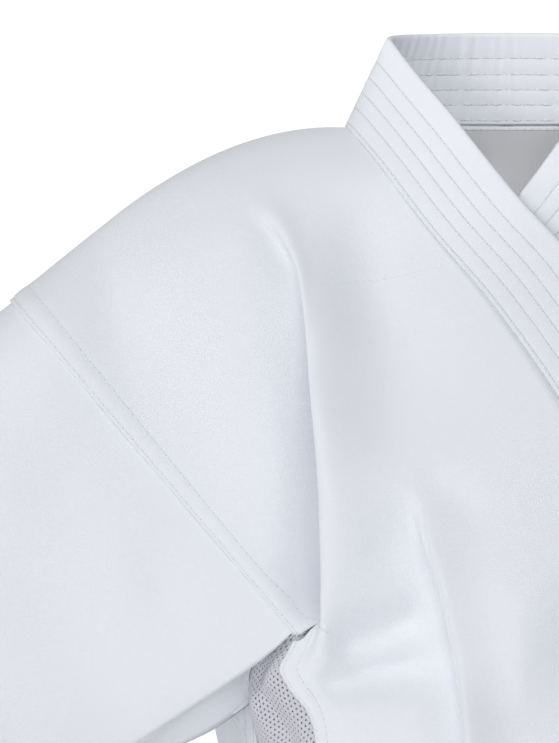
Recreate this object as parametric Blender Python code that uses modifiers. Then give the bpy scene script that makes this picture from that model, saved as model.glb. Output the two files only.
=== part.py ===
"""Karate gi jacket, filled out with no wearer and closed right front over left.

X runs to the viewer's right, Y away from the viewer and Z up, and the origin lies midway between the two
points where the shoulders meet the collar seam. Lengths are in millimetres until a panel becomes a mesh.
Each panel is worked out for the wearer's right side, at negative X. The left side is the same cut
mirrored, with its own lapel line and its own folds.
"""

import bpy
import numpy as np
from mathutils import Matrix

# Driving sizes in millimetres
WALL = 2.0
BAND_WALL = 4.0
LABEL_WALL = 1.0
SEAM_GAP = 0.3
HEM_DOWN = 740.0
VENT_DOWN = 550.0
BAND_WIDTH = 53.0
SLEEVE_LENGTH = 380.0
LABEL_WIDTH = 66.0
LABEL_HEIGHT = 50.0
LABEL_START = 0.3
TIE_WIDTH = 18.0
TIE_WALL = 2.4
TIE_DOWN = 430.0
KNOT = (22.0, 14.0, 24.0)
KNOT_X, KNOT_Y = 147.0, -60.0

# The armhole: its top, where the front seam ends at the armpit, and where the back seam ends
ARMHOLE_TOP = np.array([-291.3, 0.0, -101.0])
ARMPIT_FRONT = np.array([-126.5, -75.0, -294.0])
ARMPIT_BACK = np.array([-149.0, -33.0, -332.0])
NECK_POINT = np.array([-95.7, 0.0, 0.0])

# Form of the filled body and arm
SQUARENESS = 2.2
ARM_DEPTH = 55.0
ARMPIT_DEPTH = 75.0
ARM_BLEND = 110.0
SHOULDER_ROUND = 68.0
BACK_ARM_DEPTH = 58.0
FLANK_Y = -5.0
TUCK_DEPTH = 8.0
DEEP_TUCK = 9.0
TURN_SHARE = 0.26

# The sleeve: slopes of its top and bottom edges below level, and its half thickness
TOP_SLOPE = np.radians(39.7)
BOTTOM_SLOPE = np.radians(37.4)
SLEEVE_DEPTH = 50.0
SLEEVE_DEPTH_AT_CUFF = 44.0
ARM_FORWARD = 26.0
UNDERSIDE = np.radians(25.0)

# How finely each panel is divided
ROWS_TO_ARMPIT = 14
ROWS_TO_VENT = 9
ROWS_TO_HEM = 5
COLUMNS_BEFORE_FOLD = 5
COLUMNS_TO_CREASE = 6
COLUMNS_TO_LAPEL = 5
COLUMNS_AT_NECK = 4
COLUMNS_UNDER_ARM = 4
SLEEVE_RINGS = 8
BAND_COLUMNS = 3


def table(columns, *rows):
    """Named columns of numbers, a row for each section."""
    return {name: np.array(column, float) for name, column in zip(columns.split(), zip(*rows))}


# The shoulder line from the armhole's top to the neck point, as seen from the front
SHOULDER = table(
    "x down",
    (-291.3, 101.0),
    (-265.6, 79.5),
    (-242.4, 60.9),
    (-219.2, 42.9),
    (-196.0, 27.8),
    (-172.8, 15.7),
    (-149.6, 7.0),
    (-126.4, 1.7),
    (-110.0, 0.0),
    (-95.7, 0.0),
)

# The chest from the side: depth at the centre line and half width at each level
CHEST = table(
    "down depth half",
    (-20, 46, 240),
    (43, 68, 240),
    (107, 92, 236),
    (150, 103, 225),
    (200, 112, 206),
    (250, 117, 188),
    (294, 119, 174),
    (345, 118, 165),
    (430, 110, 162),
    (560, 124, 186),
    (740, 134, 204),
)

# The seam of the lapel on the upper front, and on the front that it covers
LAPEL_OVER = table(
    "down x",
    (0, -95.7), (58, -54.4), (111.6, -11.7), (200, 42), (294, 62), (430, 73), (560, 80), (740, 84),
)
LAPEL_UNDER = table(
    "down x",
    (0, -95.7), (58, -54.4), (111.6, -11.7), (200, 20), (294, 36), (430, 58), (560, 70), (740, 76),
)

# The front's side edge below the armpit, along the mesh inset and then the vent
FRONT_EDGE = table(
    "down x",
    (294, -126.5),
    (304, -131.0),
    (313, -135.0),
    (321, -131.5),
    (327, -127.5),
    (335, -120.5),
    (343, -116.6),
    (360, -114.0),
    (430, -114.0),
    (550, -150.0),
    (740, -173.0),
)

# The back from above, at each level: centre depth, half width at the flank, and its edge at the inset
BACK = table(
    "down depth half edge_x edge_y",
    (332, 118, 186, -149, -33),
    (430, 104, 166, -146, -34),
    (550, 120, 186, -169, -60),
    (740, 130, 204, -190, -60),
)
CENTRE_BACK = table(
    "share y down",
    (0, 78, -9),
    (0.15, 94, 22),
    (0.35, 109, 85),
    (0.6, 121, 165),
    (0.8, 122, 240),
    (1, 118, 332),
)

# The collar seam and the collar's free edge from the neck point to the centre back
NECK = table(
    "share seam_x seam_y seam_down edge_x edge_y edge_down",
    (0, -95.7, 0, 0, -70.7, 4, -53),
    (0.25, -88, 27, -3, -68, 30, -57.5),
    (0.5, -69, 52, -6.4, -54, 52, -60.5),
    (0.75, -38, 71, -8.4, -30, 67, -62.6),
    (1, 0, 78, -9, 0, 73, -63.6),
)

# The band's free edge beside the neck, against how far down its seam has come
NECK_EDGE = table(
    "seam_down x y down",
    (0, -70.7, 4, -53),
    (20, -56, -16, -31),
    (40, -35, -42, -3),
    (58, -15, -64, 25),
    (85, 8, -80, 55),
    (112, 30, -88, 82),
)

# Lines that the columns of a front follow, which are also where its largest folds run
RIGHT_GUIDE = table(
    "down x",
    (0, -185), (50, -152), (78, -126), (98, -120), (127, -114.5), (173, -109.5),
    (218, -106), (284, -106.5), (345, -100), (430, -98), (740, -118),
)
LEFT_GUIDE = table(
    "down x",
    (0, -195), (48, -170), (80, -149), (120, -138), (175, -134),
    (230, -128), (284, -108), (345, -101), (430, -98), (740, -118),
)
CREASE_GUIDE = table(
    "down x",
    (0, -112), (60, -92), (150, -75), (234, -57), (268, -45),
    (309, -36), (344, -32.5), (430, -20), (740, 0),
)


def fold(kind, width, slide, lift, fade_in, fade_out, *line):
    """One fold: a lap carries its right side over its left, and a ridge stands up where lift is positive."""
    return {
        "kind": kind, "width": width, "slide": slide, "lift": lift,
        "fades": (fade_in, fade_out), "line": table("x down", *line),
    }


RIGHT_FOLDS = (
    fold("lap", 14, 15, 15, 0.45, 0.1, (-152, 50), (-126, 78), (-119, 104), (-112, 150), (-106, 218),
         (-106, 275), (-112, 292), (-126, 307), (-140, 318)),
    fold("lap", 9, 5, 6, 0.25, 0.2, (-62, 205), (-57, 234), (-45, 268), (-36, 309), (-31, 350), (-24, 420)),
    fold("ridge", 9, 0, 6, 0.3, 0.5, (-122, 312), (-95, 306), (-60, 293), (-30, 282)),
    fold("ridge", 9, 0, 5, 0.2, 0.5, (-124, 338), (-90, 330), (-50, 327), (-20, 330)),
    fold("ridge", 34, 0, -7, 0.3, 0.4, (-92, 20), (-88, 70), (-86, 130), (-84, 190)),
)
LEFT_FOLDS = (
    fold("lap", 12, 8, 9, 0.3, 0.35, (-170, 48), (-146, 80), (-136, 120), (-132, 175), (-134, 230)),
    fold("ridge", 10, 0, 5, 0.3, 0.5, (-126, 304), (-112, 299), (-96, 288), (-84, 276)),
    fold("ridge", 34, 0, -5, 0.3, 0.4, (-104, 30), (-104, 80), (-104, 140), (-108, 180)),
)

# Soft waves where the skirt hangs below the waist: waves round the ring, their height and where one starts
SKIRT_WAVES = table("turns height phase", (5, 3.2, 0.4), (9, 2.0, 1.9))


def ease(t):
    """From 0 to 1, flat at both ends."""
    t = np.clip(t, 0.0, 1.0)
    return t * t * (3.0 - 2.0 * t)


def dome(t):
    """A quarter of a round, from upright at 0 to level at 1."""
    return np.sqrt(1.0 - (1.0 - np.clip(t, 0.0, 1.0)) ** 2)


def through(knots, values, at):
    """A smooth curve through the values at their knots, read at any numbers between them."""
    values = np.asarray(values, float)
    flat = values.reshape(len(knots), -1)
    slopes = np.gradient(flat, knots, axis=0)
    at = np.clip(at, knots[0], knots[-1])
    left = np.clip(np.searchsorted(knots, at, side="right") - 1, 0, len(knots) - 2)
    span = (knots[left + 1] - knots[left])[..., None]
    s = (at - knots[left])[..., None] / span
    start = (2 * s**3 - 3 * s**2 + 1) * flat[left] + (s**3 - 2 * s**2 + s) * slopes[left] * span
    end = (3 * s**2 - 2 * s**3) * flat[left + 1] + (s**3 - s**2) * slopes[left + 1] * span
    return (start + end).reshape(np.shape(at) + values.shape[1:])


def read(rows, column, at, by="down"):
    return through(rows[by], rows[column], np.asarray(at, float))


def points(x, y, down):
    """Points from coordinates that may each be a number or an array."""
    return np.stack(np.broadcast_arrays(x, y, -np.asarray(down, float)), axis=-1)


SEAM_RUN = (ARMPIT_FRONT - ARMHOLE_TOP)[[0, 2]]
SEAM_LENGTH = np.hypot(*SEAM_RUN)
SEAM_WAY = SEAM_RUN / SEAM_LENGTH
SEAM_INWARD = np.array([-SEAM_WAY[1], SEAM_WAY[0]])


def armhole_place(x, down):
    """How far along the front armhole seam a point lies, as a share, and how far inside it."""
    from_top_x, from_top_z = x - ARMHOLE_TOP[0], -down - ARMHOLE_TOP[2]
    along = (from_top_x * SEAM_WAY[0] + from_top_z * SEAM_WAY[1]) / SEAM_LENGTH
    inside = from_top_x * SEAM_INWARD[0] + from_top_z * SEAM_INWARD[1]
    return along, inside


def front_depth(x, down):
    """How far the front stands forward: a chest that becomes the arm's form near the armhole."""
    x = -np.abs(x)
    reach = np.clip(-x / read(CHEST, "half", down), 0, 0.985)
    chest = read(CHEST, "depth", down) * (1 - reach**SQUARENESS) ** (1 / SQUARENESS)
    along, inside = armhole_place(x, down)
    arm = ARM_DEPTH + (ARMPIT_DEPTH - ARM_DEPTH) * ease((along - 0.5) / 0.5)
    near_arm = (1 - ease(inside / ARM_BLEND)) * (1 - ease((down + ARMPIT_FRONT[2]) / 60))
    below_shoulder = down - read(SHOULDER, "down", x, by="x")
    return (chest * (1 - near_arm) + arm * near_arm) * dome(below_shoulder / SHOULDER_ROUND)


def line_place(x, down, line):
    """Signed distance from a line, positive on its right going down, the share passed, that side's way."""
    knots = np.linspace(0, 1, len(line["x"]))
    path = through(knots, np.stack([line["x"], line["down"]], axis=1), np.linspace(0, 1, 33))
    step = np.diff(path, axis=0)
    size = np.hypot(step[:, 0], step[:, 1])
    off = np.stack([x, down], axis=-1)[..., None, :] - path[:-1]
    share = np.clip((off * step).sum(-1) / size**2, 0, 1)
    gap = np.linalg.norm(off - share[..., None] * step, axis=-1)
    nearest = gap.argmin(-1)
    chosen = np.take_along_axis
    way = step[nearest] / size[nearest][..., None]
    right = np.stack([way[..., 1], -way[..., 0]], axis=-1)
    away = chosen(off, nearest[..., None, None], -2)[..., 0, :]
    side = np.sign((away * right).sum(-1))
    distance = chosen(gap, nearest[..., None], -1)[..., 0] * side
    before = np.append(0, np.cumsum(size))[nearest]
    passed = before + size[nearest] * chosen(share, nearest[..., None], -1)[..., 0]
    return distance, passed / size.sum(), right


def folded(x, down, depth, folds):
    """Moves a front's points by its folds, which fade out at their ends and at the armhole seam."""
    along, inside = armhole_place(x, down)
    beyond = np.hypot(x - ARMPIT_FRONT[0], down + ARMPIT_FRONT[2])
    pinned = ease(np.where(along > 1, beyond, inside) / 20)
    new_x, new_down, new_depth = x.copy(), down.copy(), depth.copy()
    for each in folds:
        across, share, right = line_place(x, down, each["line"])
        q = across / each["width"]
        fade_in, fade_out = each["fades"]
        strength = ease(share / fade_in) * ease((1 - share) / fade_out) * pinned
        if each["kind"] == "lap":
            form = q * np.exp(0.5 - q * q / 2)
            new_x -= each["slide"] * form * strength * right[..., 0]
            new_down -= each["slide"] * form * strength * right[..., 1]
        else:
            form = np.exp(-q * q / 2)
        new_depth += each["lift"] * form * strength
    return new_x, new_down, new_depth


def skirt_wave(x, y, down):
    """How far out the skirt's waves stand."""
    turn = np.arctan2(y, x)
    waves = sum(h * np.sin(n * turn + p) for n, h, p in zip(*SKIRT_WAVES.values()))
    return waves * ease((down - 440) / 260)


def row_shares():
    """How far down the armhole seam each row of a front ends, close together at both ends."""
    turn = np.linspace(0, np.pi - UNDERSIDE, ROWS_TO_ARMPIT + 1)
    return (1 - np.cos(turn)) / (1 + np.cos(UNDERSIDE))


def levels(start):
    """Levels of the rows from the armpit to the vent's top and on to the hem, closer near the armpit."""
    steps = np.linspace(0, 1, ROWS_TO_VENT + 1)
    upper = start + (VENT_DOWN - start) * (0.45 * steps + 0.55 * steps**2)
    lower = np.linspace(VENT_DOWN, HEM_DOWN, ROWS_TO_HEM + 1)
    return np.concatenate([upper, lower[1:]])


def columns_between(start, end, count, crowd):
    """Shares of a row from one guide towards the next, crowded to the start by up to crowd."""
    t = np.linspace(0, 1, count + 1)[1:]
    return start + (end - start) * ((1 - crowd) * t + crowd * t**3)


def row_columns(rows_x, rows_down, shares, guide):
    """Where each row's columns lie: from its outer end to the fold, the crease and the lapel."""
    placed = []
    for x, down in zip(rows_x, rows_down):
        at_fold = np.interp(0, x - read(guide, "x", down), shares)
        at_crease = np.interp(0, x - read(CREASE_GUIDE, "x", down), shares)
        span = (x[-1] - x[0]) * at_fold
        crowd = np.clip(1 - 6.0 * COLUMNS_BEFORE_FOLD / max(span, 1.0), 0, 0.75)
        outer = columns_between(at_fold, 0, COLUMNS_BEFORE_FOLD, crowd)[::-1]
        middle = columns_between(at_fold, at_crease, COLUMNS_TO_CREASE, 0)
        inner = columns_between(at_crease, 1, COLUMNS_TO_LAPEL, 0.3)
        placed.append(np.concatenate([outer, [at_fold], middle, inner]))
    return np.array(placed)


def front_sheet(lapel, guide):
    """Rows and columns of a front laid out as seen from the front, before its depth and folds."""
    shares = np.linspace(0, 1, 161)
    down_seam = row_shares()[:, None]
    armpit_down = -ARMPIT_FRONT[2]
    top_x = ARMHOLE_TOP[0] + (NECK_POINT[0] - ARMHOLE_TOP[0]) * shares
    top_down = read(SHOULDER, "down", top_x, by="x")
    end_down = armpit_down * down_seam
    end_x = read(lapel, "x", end_down)
    row_end_x = read(lapel, "x", armpit_down)
    bottom_x = ARMPIT_FRONT[0] + (row_end_x - ARMPIT_FRONT[0]) * shares
    straight_end = NECK_POINT[0] + (row_end_x - NECK_POINT[0]) * down_seam
    upper_x = (1 - down_seam) * top_x + down_seam * bottom_x + shares * (end_x - straight_end)
    upper_down = (1 - down_seam) * top_down + down_seam * armpit_down
    lower_down = levels(armpit_down)[1:, None] + 0 * shares
    edge_x = read(FRONT_EDGE, "x", lower_down[:, :1])
    lapel_x = read(lapel, "x", lower_down[:, :1])
    lower_x = edge_x + (lapel_x - edge_x) * shares
    rows_x, rows_down = np.vstack([upper_x, lower_x]), np.vstack([upper_down, lower_down])
    at = row_columns(rows_x, rows_down, shares, guide)
    x = np.array([np.interp(a, shares, row) for a, row in zip(at, rows_x)])
    down = np.array([np.interp(a, shares, row) for a, row in zip(at, rows_down)])
    return x, down


def tuck(x, down, side):
    """How far the covered front and its band lie behind the front over them."""
    if side < 0:
        return 0 * x
    edge_x, _, edge_down = band_edge(LAPEL_OVER, np.linspace(0, HEM_DOWN, 40))
    covered = -line_place(-x, down, {"x": edge_x, "down": edge_down})[0]
    return TUCK_DEPTH * ease((covered + 40) / 36) + DEEP_TUCK * ease(covered / 50)


def front_points(side):
    """The front as a grid of points, its first row on the shoulder line."""
    lapel, guide = (LAPEL_OVER, RIGHT_GUIDE) if side < 0 else (LAPEL_UNDER, LEFT_GUIDE)
    x, down = front_sheet(lapel, guide)
    depth = front_depth(x, down)
    x, down, depth = folded(x, down, depth, RIGHT_FOLDS if side < 0 else LEFT_FOLDS)
    depth += skirt_wave(x * -side, -depth, down)
    grid = points(x, -depth + tuck(x, down, side), down)
    grid[0, :, 1] = 0
    return grid


def back_armhole(shares, end):
    """The back armhole seam: parallel to the front one, then round under the arm to its end."""
    straight = ARMHOLE_TOP[[0, 2]] + shares[:, None] * SEAM_RUN
    turn = ease((shares - 0.5) / 0.5)[:, None]
    plan = straight + turn * (end[[0, 2]] - ARMPIT_FRONT[[0, 2]])
    drop = ease((shares - 0.62) / 0.38)
    y = BACK_ARM_DEPTH * dome(shares / 0.28) * (1 - drop) + end[1] * drop
    return np.stack([plan[:, 0], y, plan[:, 1]], axis=1)


def back_ring(level, shares):
    """Half of the back at each level, from the flank to the centre line, before it turns under the arm."""
    depth, half = (read(BACK, name, level)[..., None] for name in ("depth", "half"))
    a, b = (1 - shares) ** 3, 3 * (1 - shares) ** 2 * shares
    c, d = 3 * (1 - shares) * shares**2, shares**3
    x = -half * (a + b + 0.62 * c)
    y = FLANK_Y * a + (FLANK_Y + 0.62 * (depth - FLANK_Y)) * b + depth * (c + d)
    return points(x, y, np.asarray(level)[..., None])


def hook(shares):
    """How much of the turn under the arm each column takes."""
    return np.clip(1 - shares / TURN_SHARE, 0, 1) ** 2


def back_points(front):
    """The back as a grid of points: its first row is the shoulder line and then the neck seam."""
    neck_share = np.linspace(0, 1, COLUMNS_AT_NECK + 1)[1:]
    neck = points(*(read(NECK, name, neck_share, by="share") for name in ("seam_x", "seam_y", "seam_down")))
    top = np.vstack([front[0], neck])
    count = len(top)
    shares = np.linspace(0, 1, count)
    v = np.linspace(0, 1, ROWS_TO_ARMPIT + 1)
    seam_share = row_shares()
    armpit_level = -ARMPIT_BACK[2]
    flank = np.array([-read(BACK, "half", armpit_level), FLANK_Y, ARMPIT_BACK[2]])
    left = back_armhole(seam_share, flank)
    under = back_armhole(seam_share, ARMPIT_BACK) - left
    centre_share = v**1.35
    centre = points(0, read(CENTRE_BACK, "y", centre_share, by="share"),
                    read(CENTRE_BACK, "down", centre_share, by="share"))
    bottom = back_ring(np.array([armpit_level]), shares)[0]
    blend = ease(v)[:, None, None]
    across = shares[None, :, None]
    upper = (1 - blend) * top + blend * bottom
    upper += (1 - across) * (left[:, None] - (1 - blend) * top[0] - blend * bottom[0])
    upper += across * (centre[:, None] - (1 - blend) * top[-1] - blend * bottom[-1])
    upper += hook(shares)[None, :, None] * under[:, None]
    level = levels(armpit_level)[1:]
    lower = back_ring(level, shares)
    edge = points(read(BACK, "edge_x", level), read(BACK, "edge_y", level), level)
    lower += hook(shares)[None, :, None] * (edge - lower[:, 0])[:, None]
    grid = np.vstack([upper, lower])
    grid[0] = top
    grid[..., 1] += skirt_wave(grid[..., 0], grid[..., 1], -grid[..., 2])
    return grid


def inset_points(front, back):
    """The mesh inset between front and back, its first row across the armpit under the sleeve."""
    first, last = ROWS_TO_ARMPIT, ROWS_TO_ARMPIT + ROWS_TO_VENT
    front_edge, back_edge = front[first : last + 1, 0], back[first : last + 1, 0]
    share = np.linspace(0, 1, COLUMNS_UNDER_ARM + 1)[None, :, None]
    grid = front_edge[:, None] * (1 - share) + back_edge[:, None] * share
    rows = len(grid)
    down_share = np.linspace(0, 1, rows)[:, None, None]
    bow = 4 * share * (1 - share)
    into_sleeve = np.array([-13.0, 0.0, 3.0]) * ease(1 - down_share / 0.25)
    outward = np.array([-7.0, -7.0, 0.0]) * ease(down_share / 0.2) * (1 - 0.5 * down_share)
    return grid + bow * (into_sleeve + outward)


def sleeve_points(front, back, inset):
    """The sleeve as rings: the first is the armhole, and they ease into a hanging arm's section."""
    under = inset[0, 1:]
    ring = np.vstack([front[: ROWS_TO_ARMPIT + 1, 0], under, back[1:ROWS_TO_ARMPIT, 0][::-1]])
    front_turn = np.linspace(0, np.pi - UNDERSIDE, ROWS_TO_ARMPIT + 1)
    under_turn = np.linspace(np.pi - UNDERSIDE, np.pi + UNDERSIDE, len(under) + 1)[1:]
    back_turn = np.linspace(np.pi + UNDERSIDE, 2 * np.pi, ROWS_TO_ARMPIT + 1)[1:-1]
    turn = np.concatenate([front_turn, under_turn, back_turn])
    t = np.linspace(0, 1, SLEEVE_RINGS + 1)
    along = (SLEEVE_LENGTH * (0.7 * t + 0.3 * t**2))[:, None]
    top = ARMHOLE_TOP[[0, 2]] - along * np.array([np.cos(TOP_SLOPE), np.sin(TOP_SLOPE)])
    low = ARMPIT_FRONT[[0, 2]] - along * np.array([np.cos(BOTTOM_SLOPE), np.sin(BOTTOM_SLOPE)])
    down_share = (1 - np.cos(turn)) / 2
    plan = top[:, None] + (low - top)[:, None] * down_share[None, :, None]
    depth = SLEEVE_DEPTH + (SLEEVE_DEPTH_AT_CUFF - SLEEVE_DEPTH) * along / SLEEVE_LENGTH
    y = -depth * np.sin(turn) * (1 + 0.25 * np.cos(turn)) - ARM_FORWARD * (along / SLEEVE_LENGTH) ** 1.5
    grid = np.stack([plan[..., 0], y, plan[..., 1]], axis=-1)
    settle = (1 - ease(along / 190))[..., None]
    return grid + settle * (ring - grid[0])


def band_edge(lapel, seam_down):
    """The band's free edge for each place on its seam: past the neck it lies square to the lapel line."""
    near = [read(NECK_EDGE, name, seam_down, by="seam_down") for name in ("x", "y", "down")]
    step = 4.0
    run = read(lapel, "x", seam_down + step) - read(lapel, "x", seam_down - step)
    size = np.hypot(run, 2 * step)
    x = read(lapel, "x", seam_down) + BAND_WIDTH * 2 * step / size
    down = np.minimum(seam_down - BAND_WIDTH * run / size * ease((HEM_DOWN - seam_down) / 60), HEM_DOWN)
    y = -front_depth(x, np.maximum(down, 0)) - 2
    past = ease((seam_down - 70) / 42)
    return tuple(n * (1 - past) + f * past for n, f in zip(near, (x, y, down)))


def band_points(front, back, side):
    """The collar band from the centre back, round the neck and down to the hem, seam to free edge."""
    lapel = LAPEL_OVER if side < 0 else LAPEL_UNDER
    seam = np.vstack([back[0, len(front[0]) :][::-1], front[:, -1]])
    neck_share = np.linspace(0, 1, COLUMNS_AT_NECK + 1)[1:][::-1]
    names = ("edge_x", "edge_y", "edge_down")
    round_neck = points(*(read(NECK, name, neck_share, by="share") for name in names))
    seam_down = np.concatenate([-ARMPIT_FRONT[2] * row_shares(), levels(-ARMPIT_FRONT[2])[1:]])
    x, y, down = band_edge(lapel, seam_down)
    lapel_edge = points(x, y + tuck(x, down, side), down)
    edge = np.vstack([round_neck, lapel_edge])
    share = np.linspace(0, 1, BAND_COLUMNS + 1)[None, :, None]
    return seam[:, None] * (1 - share) + edge[:, None] * share


def quads(ids, flip):
    """Faces of a grid of point numbers, seen from outside."""
    faces = np.stack([ids[:-1, :-1], ids[1:, :-1], ids[1:, 1:], ids[:-1, 1:]], axis=-1).reshape(-1, 4)
    return faces[:, ::-1] if flip else faces


def panel(name, grid, flip, wall, around=False):
    ids = np.arange(grid.shape[0] * grid.shape[1]).reshape(grid.shape[:2])
    if around:
        ids = np.hstack([ids, ids[:, :1]])
    return {"name": name, "points": grid.reshape(-1, 3), "faces": quads(ids, flip), "wall": wall}


def body_panel(name, front, back, wall):
    """Front and back in one cut: the back's first row starts with the front's."""
    rows, columns = front.shape[:2]
    front_ids = np.arange(rows * columns).reshape(rows, columns)
    extra = back.shape[1] - columns
    neck_ids = rows * columns + np.arange(extra)
    rest = rows * columns + extra + np.arange((len(back) - 1) * back.shape[1]).reshape(len(back) - 1, -1)
    back_ids = np.vstack([np.append(front_ids[0], neck_ids), rest])
    faces = np.vstack([quads(front_ids, False), quads(back_ids, True)])
    cloth = np.vstack([front.reshape(-1, 3), back[0, columns:], back[1:].reshape(-1, 3)])
    return {"name": name, "points": cloth, "faces": faces, "wall": wall}


def face_normals(cloth, faces):
    """Twice each face's area along its normal, from its diagonals."""
    corners = cloth[faces]
    return np.cross(corners[:, 2] - corners[:, 0], corners[:, 3] - corners[:, 1])


def shared_normals(panels):
    """Normals at each panel's points, the same on both sides of a seam, so that walls meet squarely."""
    every = np.vstack([p["points"] for p in panels])
    _, weld = np.unique(np.round(every, 3), axis=0, return_inverse=True)
    weld = weld.ravel()
    total = np.zeros((weld.max() + 1, 3))
    starts = np.append(0, np.cumsum([len(p["points"]) for p in panels]))
    for p, start in zip(panels, starts):
        each = face_normals(p["points"], p["faces"])
        for corner in range(4):
            np.add.at(total, weld[start + p["faces"][:, corner]], each)
    total /= np.linalg.norm(total, axis=1, keepdims=True)
    for p, start in zip(panels, starts):
        p["normals"] = total[weld[start : start + len(p["points"])]]


def open_edges(faces):
    """Edges that only one face has, in that face's direction."""
    pairs = np.stack([faces, np.roll(faces, -1, axis=1)], axis=-1).reshape(-1, 2)
    size = faces.max() + 1
    keys, backward = pairs[:, 0] * size + pairs[:, 1], pairs[:, 1] * size + pairs[:, 0]
    return pairs[~np.isin(keys, backward)]


def pulled_in(cloth, normals, faces, distance):
    """Moves the outline inwards, so that neighbours stay a seam's gap apart."""
    edges = open_edges(faces)
    way = cloth[edges[:, 1]] - cloth[edges[:, 0]]
    way /= np.linalg.norm(way, axis=1, keepdims=True)
    inward = [np.zeros_like(cloth), np.zeros_like(cloth)]
    for end in (0, 1):
        inward[end][edges[:, end]] = np.cross(normals[edges[:, end]], way)
    both = 1 + (inward[0] * inward[1]).sum(1, keepdims=True)
    return cloth + distance * (inward[0] + inward[1]) / np.maximum(both, 0.5)


# A slanting direction in which no two neighbours on a seam lie level
RANK_WAY = np.array([1.0, 1.7, 2.3])


def rim_faces(cloth, faces):
    """The wall's rim in triangles, each pair split the same way on both sides of a seam."""
    count = len(cloth)
    a, b = open_edges(faces).T
    rank = cloth @ RANK_WAY
    first = (rank[a] < rank[b])[:, None]
    from_a = np.stack([b, a, b + count, a, a + count, b + count], axis=1)
    from_b = np.stack([b, a, a + count, b, a + count, b + count], axis=1)
    return np.where(first, from_a, from_b).reshape(-1, 3)


def wall_object(name, cloth, normals, faces, wall, material):
    """A closed wall: the cloth moved out and in by half its thickness, joined along its outline."""
    rim = rim_faces(cloth, faces)
    cloth = pulled_in(cloth, normals, faces, SEAM_GAP / 2)
    outer, inner = cloth + normals * wall / 2, cloth - normals * wall / 2
    every_face = [*faces.tolist(), *(faces[:, ::-1] + len(cloth)).tolist(), *rim.tolist()]
    mesh = bpy.data.meshes.new(name)
    mesh.from_pydata((np.vstack([outer, inner]) / 1000).tolist(), [], every_face)
    mesh.shade_smooth()
    mesh.set_sharp_from_angle(angle=np.radians(50))
    mesh.materials.append(material)
    piece = bpy.data.objects.new(name, mesh)
    collection.objects.link(piece)
    return piece


def label_panel(back):
    """The size label: hangs inside the back from the collar seam and follows the back's points."""
    height = LABEL_START + np.arange(5)
    row = np.floor(height).astype(int)
    between = (height - row)[:, None]
    beside, centre = ((1 - between) * back[row, c] + between * back[row + 1, c] for c in (-2, -1))
    side = centre + (beside - centre) * (LABEL_WIDTH / 2 / -beside[:, :1])
    grid = np.stack([side, centre, side * [-1, 1, 1]], axis=1)
    length = np.append(0, np.cumsum(np.linalg.norm(np.diff(centre, axis=0), axis=1)))
    at = np.linspace(0, LABEL_HEIGHT, 5)
    down_each = [[np.interp(at, length, grid[:, c, k]) for k in range(3)] for c in range(3)]
    grid = np.transpose(down_each, (2, 0, 1))
    label = panel("size_label", grid, False, LABEL_WALL)
    shared_normals([label])
    label["points"] = label["points"] + label["normals"] * (WALL / 2 + LABEL_WALL / 2 + 2 * SEAM_GAP)
    return label


def ribbon(name, path, across, start=0.0):
    """A flat tie along a path, as wide as the vector across it."""
    knots = np.linspace(0, 1, len(path))
    line = through(knots, np.array(path, float), np.linspace(start, 1, 7))
    share = np.array([-0.5, 0.5])[None, :, None]
    tie = panel(name, line[:, None] + share * np.asarray(across, float), False, TIE_WALL)
    shared_normals([tie])
    return tie


def tie_panels():
    """The two ties at the wearer's left side, each to the knot, and their tails below it."""
    forward, outward = np.array([-0.51, -0.86, 0.0]), np.array([0.86, -0.51, 0.0])
    knot = np.array([KNOT_X, KNOT_Y, -TIE_DOWN])
    upright = [0, 0, TIE_WIDTH]
    end = KNOT[0] / 2 + SEAM_GAP
    front_path = [(127.1, -77.9, -TIE_DOWN), (134.5, -75.0, -TIE_DOWN), knot + forward * end]
    side_path = [(150.2, -33.0, -TIE_DOWN), (154.2, -42.0, -TIE_DOWN), knot - forward * end]
    below = KNOT[2] / 2 + SEAM_GAP
    falls = np.array([below, 50.0, 100.0, 160.0])
    tails = []
    for name, sign, out, lean in (
        ("tie_tail_a", 1, (-2.4, 8, 20, 33), (0, 4, 11, 22)),
        ("tie_tail_b", -1, (2.4, 14, 27, 41), (0, 3, 8, 15)),
    ):
        path = [knot + outward * o + sign * forward * s - [0, 0, f] for o, s, f in zip(out, lean, falls)]
        tails.append(ribbon(name, path, -forward * TIE_WIDTH))
    held = [ribbon("tie_front", front_path, upright), ribbon("tie_side", side_path, upright)]
    return held + tails, knot, forward


def knot_object(place, forward, material):
    """The ties' knot, a soft block with its long side along them."""
    bpy.ops.mesh.primitive_cube_add(size=1)
    knot = bpy.context.object
    knot.name = knot.data.name = "tie_knot"
    knot.data.transform(Matrix.Diagonal((*(size / 1000 for size in KNOT), 1)))
    knot.rotation_euler.z = np.arctan2(forward[1], forward[0])
    knot.location = place / 1000
    bevel = knot.modifiers.new("soft edges", "BEVEL")
    bevel.width = 0.004
    bevel.segments = 2
    knot.data.materials.append(material)
    for old_home in knot.users_collection:
        old_home.objects.unlink(knot)
    collection.objects.link(knot)


def cloth_material(name, colour, roughness):
    material = bpy.data.materials.new(name)
    material.use_nodes = True
    shader = material.node_tree.nodes["Principled BSDF"]
    shader.inputs["Base Color"].default_value = (*colour, 1.0)
    shader.inputs["Roughness"].default_value = roughness
    shader.inputs["Metallic"].default_value = 0.0
    return material


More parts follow.
